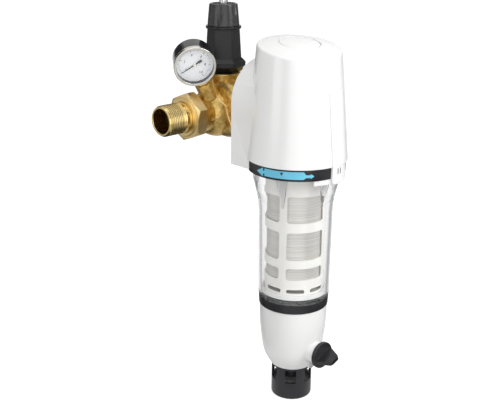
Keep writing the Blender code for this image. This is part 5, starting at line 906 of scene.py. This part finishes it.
def make_tail(name, place, node_name):
    """Tail with a fine thread towards its end."""
    shank, valley = COLLAR_X + 0.003, TAIL_R - THREAD_DEPTH
    profile = [(TAIL_BORE, COLLAR_X), (COLLAR_R, COLLAR_X), (COLLAR_R, shank), (TAIL_R, shank),
               (TAIL_R, THREAD_START)]
    x = THREAD_START
    while x + THREAD_PITCH < TAIL_END - 0.0012:
        profile += [(valley, x + THREAD_PITCH * 0.45), (valley, x + THREAD_PITCH * 0.55),
                    (TAIL_R, x + THREAD_PITCH * 0.95), (TAIL_R, x + THREAD_PITCH)]
        x += THREAD_PITCH
    profile += [(TAIL_R - 0.0012, TAIL_END - 0.0003), (TAIL_R - 0.0015, TAIL_END),
                (TAIL_BORE + 0.0004, TAIL_END), (TAIL_BORE, TAIL_END - 0.0004)]
    piece(turned(name, profile, MEDIUM, place, 0, 25), FIXED, "bright_brass", BRASS_THREAD, node_name)


make_body()
make_casting_marks()
make_nut("nut_left", LEFT, -NUT_TURN, "union_nut_left")
make_nut("nut_right", RIGHT, NUT_TURN, "union_nut_right")
make_tail("tail_left", LEFT, "union_tail_left")
make_tail("tail_right", RIGHT, "union_tail_right")

# Reducer

BONNET = [(0, 0.0898), (0.0174, 0.0898), (0.0193, 0.058), (0.0241, 0.0537), (0.0241, 0.0493),
          (0.0175, 0.0423), (0, 0.0423)]
BONNET_RIM = [(0, 0.0902), (0.0169, 0.0902), (0.0176, 0.0885), (0.0192, 0.060), (0.0235, 0.0540),
              (0.0240, 0.0535), (0.0240, 0.0495), (0.0233, 0.0488), (0.0178, 0.0421), (0, 0.0421)]
BONNET_COLLAR_R = 0.0192
BONNET_COLLAR_LOW = 0.0893
SPINDLE_ROOM = 0.0033
SCALLOP = (0.0092, 0.0012, 0.0985)
COLLAR_TOP = 0.0920
KNOB_TOP = 0.1155
KNOB_BASE_R = 0.0173
KNOB_TOP_R = 0.0154


def make_bonnet():
    bonnet = turned("bonnet", BONNET, 6, UP, math.radians(15.7), 25)
    combine(bonnet, turned("bonnet_rim", BONNET_RIM, MEDIUM), "INTERSECT", 25)
    collar = box(0, BONNET_COLLAR_R, COLLAR_TOP, BONNET_COLLAR_LOW)
    add(bonnet, turned("collar", rounded(collar, 0.0005), MEDIUM))
    cut(bonnet, cylinder("bore", 0.0118, 0.040, 0.086, 64), cylinder("hole", SPINDLE_ROOM, 0.084, 0.094, 32))
    soften(bonnet, 25)
    piece(bonnet, FIXED, "reducer_black", BONNET_BLACK, "reducer_bonnet")


def scallop(turn):
    """What one hollow takes out of the knob's side."""
    width, depth, foot = SCALLOP
    radius = width ** 2 / (8 * depth) + depth / 2
    height = KNOB_TOP - COLLAR_TOP
    slope = math.atan((KNOB_BASE_R - KNOB_TOP_R) / height)
    end = KNOB_TOP - foot + OVERCUT
    profile = [(0, end), (radius, end), (radius, 0.008), (radius - depth - GAP, 0), (0, 0)]
    side = KNOB_BASE_R + (KNOB_TOP_R - KNOB_BASE_R) * (foot - COLLAR_TOP) / height
    place = (Matrix.Rotation(turn, 4, "Z") @ Matrix.Translation((side + radius - depth, 0, foot))
             @ Matrix.Rotation(-slope, 4, "Y"))
    return turned("scallop", profile, MEDIUM, place)


def make_reducer_knob():
    base, dish, roof = COLLAR_TOP + GAP, KNOB_TOP - 0.0014, 0.1101
    profile = [(SPINDLE_ROOM, dish), (0.0118, dish), (0.0132, KNOB_TOP)]
    profile += arc((KNOB_TOP_R - 0.0016, KNOB_TOP - 0.0016), 0.0016, 90, 0, 8)
    profile += [(KNOB_BASE_R, base + 0.0003), (KNOB_BASE_R - 0.0003, base), (KNOB_BASE_R - 0.0022, base),
                (0.011, roof), (0.006, roof), (0.006, base), (SPINDLE_ROOM, base)]
    knob = turned("adjusting_cap", profile, FINE)
    for step in range(6):
        cut(knob, scallop(math.radians(35 + 60 * step)))
    soften(knob, 28)
    piece(knob, "adjusting_knob", "reducer_grey", KNOB_GREY, "reducer_knob")


make_bonnet()
make_reducer_knob()

# Gauge

GAUGE_R = 0.0215
GAUGE_HALF = 0.01175
BEZEL_R = 0.0224
BEZEL_DEPTH = 0.005
DIAL_Z = GAUGE_HALF - 0.0068
DIAL_HOLE = 0.0011
DIAL_THICK = 0.0008
# Degrees from the dial's top to zero, and over the whole scale
GAUGE_ZERO = 101
GAUGE_SPAN = 270
SCALE_STEPS = 50
FIGURE_R = 0.0112
FIGURE_SIZE = 0.0044
NEEDLE_LIFT = 0.0012
NEEDLE = [(0.0158, 0.0002), (0, 0.0006), (-0.0045, 0.0007), (-0.0052, 0.0012), (-0.0088, 0.0012)]
HUB_R = 0.0018


def make_gauge():
    place = gauge_frame()
    back, front = -GAUGE_HALF, GAUGE_HALF
    inner, sleeve, lip = GAUGE_R - 0.0012, GAUGE_R + GAP, GAUGE_R - 0.0019
    profile = [(inner, front - 0.0024), (GAUGE_R, front - 0.0024)]
    profile += arc((GAUGE_R - 0.0012, back + 0.0012), 0.0012, 0, -90, 8)
    profile += [(0, back), (0, back + 0.0012), (inner, back + 0.0012)]
    case = turned("gauge_body", profile, MEDIUM, place)
    cut(case, cylinder("stem_hole", 0.004, -GAUGE_R - OVERCUT, -GAUGE_R / 2, 24, boss_frame()))
    piece(case, FIXED, "gauge_black", GAUGE_BLACK, "gauge_case")
    profile = [(lip, front), (BEZEL_R, front), (BEZEL_R, front - BEZEL_DEPTH), (sleeve, front - BEZEL_DEPTH),
               (sleeve, front - 0.0006), (lip, front - 0.0006)]
    bezel = turned("bezel", rounded(profile, 0.0006), MEDIUM, place)
    piece(bezel, FIXED, "gauge_chrome", CHROME, "gauge_bezel")
    lens = cylinder("window", GAUGE_R, front - 0.0021, front - 0.0009, MEDIUM, place)
    piece(lens, FIXED, "gauge_lens", LENS, "gauge_lens")
    plate = turned("dial_plate", box(DIAL_HOLE, inner - GAP, DIAL_Z, DIAL_Z - DIAL_THICK), MEDIUM, place)
    piece(plate, FIXED, "dial_white", DIAL_GLOWING, "gauge_dial")
    make_scale(place)
    make_needle(place)


def make_scale(place):
    bars = []
    for step in range(SCALE_STEPS + 1):
        turn = Matrix.Rotation(math.radians(90 + GAUGE_ZERO - GAUGE_SPAN * step / SCALE_STEPS), 4, "Z")
        near = 0.0143 if step % 10 == 0 else (0.0150 if step % 5 == 0 else 0.0158)
        half = 0.00028 if step % 10 == 0 else 0.00014
        outline = [(near, -half), (0.0172, -half), (0.0172, half), (near, half)]
        bars.append(extruded("tick", outline, DIAL_Z, DIAL_Z + 0.00008, place @ turn))
    piece(joined("scale_marks", bars), FIXED, "needle_black", FIGURES)
    for step in range(6):
        angle = math.radians(90 + GAUGE_ZERO - GAUGE_SPAN * step / 5)
        curve = bpy.data.curves.new("figure_" + str(step), "FONT")
        curve.body = str(2 * step)
        curve.size = FIGURE_SIZE
        curve.extrude = 0.00004
        curve.align_x = "CENTER"
        curve.align_y = "CENTER"
        text = bpy.data.objects.new("figure_" + str(step), curve)
        bpy.context.scene.collection.objects.link(text)
        spot = Matrix.Translation((FIGURE_R * math.cos(angle), FIGURE_R * math.sin(angle), DIAL_Z + 0.00006))
        text.matrix_world = place @ spot @ Matrix.Rotation(math.radians(GAUGE_ZERO - GAUGE_SPAN / 2), 4, "Z")
        piece(text, FIXED, "needle_black", FIGURES)


def make_needle(place):
    low = DIAL_Z + NEEDLE_LIFT
    turn = place @ Matrix.Rotation(math.radians(90 + GAUGE_ZERO), 4, "Z")
    outline = NEEDLE + [(x, -y) for x, y in reversed(NEEDLE)]
    needle = extruded("pointer", outline, low, low + 0.0005, turn)
    piece(needle, "needle", "needle_black", PRINT, "gauge_needle")
    profile = rounded(box(0, HUB_R, low + 0.001, low + 0.0004), 0.0004)
    piece(turned("pointer_hub", profile, 48, turn), "needle", "bright_brass", CHROME)


make_gauge()

# Springs, which shorten as the piece on them moves: wire radius, lowest and highest height, coil radius

CAGE_SPRING = (0.0009, -0.2212, -0.1758, 0.014)
REDUCER_SPRING = (0.0013, 0.0409, 0.0761, 0.0088)


def coil(name, radius, wire, low, high, turns, place, start=0.0):
    """A helix of round wire between two heights of its centre line, from a given turn on."""
    sections = []
    steps = round(turns * 24)
    for step in range(steps + 1):
        angle = 2 * math.pi * (start + step / 24)
        out = Vector((math.cos(angle), math.sin(angle), 0))
        middle = out * radius + Vector((0, 0, low + (high - low) * step / steps))
        sections.append([middle + wire * (out * math.cos(turn) + Vector((0, 0, math.sin(turn))))
                         for turn in (2 * math.pi * side / BAR_SIDES for side in range(BAR_SIDES))])
    return lofted(name, sections, place, 60)


def make_springs():
    """The reducer's spring is in two halves, as a piece moves at each of its ends."""
    wire, low, high, radius = CAGE_SPRING
    lower = coil("insert_spring_coil", radius, wire, low + wire, high - wire, 5, FILTER)
    piece(lower, FIXED, "steel", STEEL, "insert_spring")
    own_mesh(lower)
    wire, low, high, radius = REDUCER_SPRING
    middle = (low + high) / 2
    foot = coil("reducer_spring_foot", radius, wire, low + wire, middle, 2.5, UP)
    piece(foot, FIXED, "steel", STEEL, "reducer_spring")
    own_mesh(foot)
    head = coil("reducer_spring_head", radius, wire, middle, high - wire, 2.5, UP, 2.5)
    piece(head, FIXED, "steel", STEEL)
    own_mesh(head)


make_springs()

# Nodes that keep their shape

STAY = ((WHITE, "filter_head"),
        (RUBBER, "bowl_seal_upper", "bowl_seal_lower", "cage_seal", "stem_seal", "union_gasket_left",
         "union_gasket_right", "flange_gasket"),
        (BRASS_BRIGHT, "gauge_stem", "body_plug", "reducer_piston", "gauge_movement", "gauge_arbor"),
        (STEEL, "drain_stem", "knob_pin", "housing_screw", "reducer_spindle", "spring_plate", "drain_ball",
         "flange_screw_1", "flange_screw_2", "flange_screw_3", "flange_screw_4"),
        (CREAM, "reducer_cartridge", "ball_seat_upper", "ball_seat_lower"))
for finish, *names in STAY:
    for node_name in names:
        dress(node_name, finish)

# Camera

EYE = (-0.6623, -0.7211, 0.2201)
SIDE = (0.71718604, -0.6968358, 0.00800356)
ABOVE = (0.21487415, 0.23204537, 0.94867489)
BEHIND = (-0.66292781, -0.67865663, 0.3161517)

lens_data = bpy.data.cameras.new("camera")
lens_data.lens = 64.8
lens_data.sensor_width = 36
camera = bpy.data.objects.new("camera", lens_data)
camera.matrix_world = Matrix.Translation(EYE) @ Matrix((SIDE, ABOVE, BEHIND)).transposed().to_4x4()
bpy.context.scene.collection.objects.link(camera)
bpy.context.scene.camera = camera

# Studio

FLOOR_Z = -0.3045
FLOOR_GLOW = 0.78
# How bright the surroundings mirror, by the sideways share of the direction
FLAG_STOPS = ((0.40, 1), (0.52, 0.06), (0.78, 0.06), (0.84, 0.75))


def lamp(name, place, aim, width, height, power):
    light = bpy.data.lights.new(name, "AREA")
    light.shape = "RECTANGLE"
    light.size = width
    light.size_y = height
    light.energy = power
    item = bpy.data.objects.new(name, light)
    item.location = place
    item.rotation_euler = (Vector(aim) - Vector(place)).to_track_quat("-Z", "Y").to_euler()
    bpy.context.scene.collection.objects.link(item)


def flags(tree, direction):
    """Bright ahead, behind and overhead with darker sides, as a studio looks in a mirror."""
    across = node(tree, "ShaderNodeVectorMath", {0: direction, 1: SIDE}, operation="DOT_PRODUCT")
    sides = colours(tree, size_of(tree, across.outputs["Value"]),
                    [(place, (level, level, level)) for place, level in FLAG_STOPS])
    height = node(tree, "ShaderNodeSeparateXYZ", {0: direction}).outputs["Z"]
    overhead = spread(tree, height, 0, 1, 0.5, 0.75)
    return node(tree, "ShaderNodeMath", {0: sides, 1: overhead}, operation="MAXIMUM").outputs[0]


def blend_by(tree, ray, without, within):
    """One shader for the named rays, another for the rest."""
    path = node(tree, "ShaderNodeLightPath")
    return node(tree, "ShaderNodeMixShader", {0: path.outputs[ray], 1: without, 2: within}).outputs[0]


def glow(tree, kind, strength):
    return node(tree, kind, {"Color": (1, 1, 1, 1), "Strength": strength}).outputs[0]


def make_world():
    world = bpy.data.worlds.new("studio")
    bpy.context.scene.world = world
    world.use_nodes = True
    tree, kind = world.node_tree, "ShaderNodeBackground"
    level = flags(tree, node(tree, "ShaderNodeTexCoord").outputs["Generated"])
    result = blend_by(tree, "Is Glossy Ray", glow(tree, kind, 0.5),
                      glow(tree, kind, spread(tree, level, 0, 0.8)))
    result = blend_by(tree, "Is Transmission Ray", result, glow(tree, kind, spread(tree, level, 0.5, 1)))
    shade(tree, blend_by(tree, "Is Camera Ray", result, glow(tree, kind, 1.0)), "World")


def make_floor():
    """White paper that keeps the shadow, and mirrors as the world does; dark inside the outlet."""
    bm = bmesh.new()
    bmesh.ops.create_grid(bm, x_segments=1, y_segments=1, size=4.0)
    floor = to_object("floor", bm, Matrix.Translation((0, 0, FLOOR_Z)))
    material = surface("floor_paper", ((0.5, 0.5, 0.5), (0.53, 0.53, 0.53)), 0.8, 0, 3, bump=0.02, bevel=0)
    tree, kind = material.node_tree, "ShaderNodeEmission"
    paper = tree.nodes["Principled BSDF"].outputs[0]
    place = node(tree, "ShaderNodeTexCoord").outputs["Object"]
    near = node(tree, "ShaderNodeVectorMath", {0: place, 1: (0, FILTER_Y, -0.1)}, operation="SUBTRACT")
    way = node(tree, "ShaderNodeVectorMath", {0: near.outputs[0]}, operation="NORMALIZE")
    level = flags(tree, way.outputs[0])
    away = node(tree, "ShaderNodeVectorMath", {0: place, 1: (0, FILTER_Y, FLOOR_Z)}, operation="DISTANCE")
    light = spread(tree, away.outputs["Value"], 0, FLOOR_GLOW, OUTLET_R - 0.0012, OUTLET_R - 0.0002)
    seen = node(tree, "ShaderNodeAddShader", {0: paper, 1: glow(tree, kind, light)}).outputs[0]
    result = blend_by(tree, "Is Glossy Ray", paper, glow(tree, kind, spread(tree, level, 0, 0.7)))
    result = blend_by(tree, "Is Transmission Ray", result, glow(tree, kind, spread(tree, level, 0.5, 1)))
    shade(tree, blend_by(tree, "Is Camera Ray", result, seen))
    floor.data.materials.append(material)


make_world()
make_floor()
lamp("key", (0.3, -1.15, 0.6), (0, -0.1, -0.1), 0.7, 0.9, 11)
lamp("fill", (-1.1, 0.1, 0.3), (0, -0.05, -0.05), 0.5, 0.9, 2.5)
lamp("front", (-0.8, -1.1, -0.05), (0, -0.1, -0.17), 1.4, 1.0, 4.5)
lamp("top", (-0.1, -0.1, 1.1), (0, -0.08, 0), 0.8, 0.8, 2.5)
bpy.context.scene.view_settings.view_transform = "Standard"
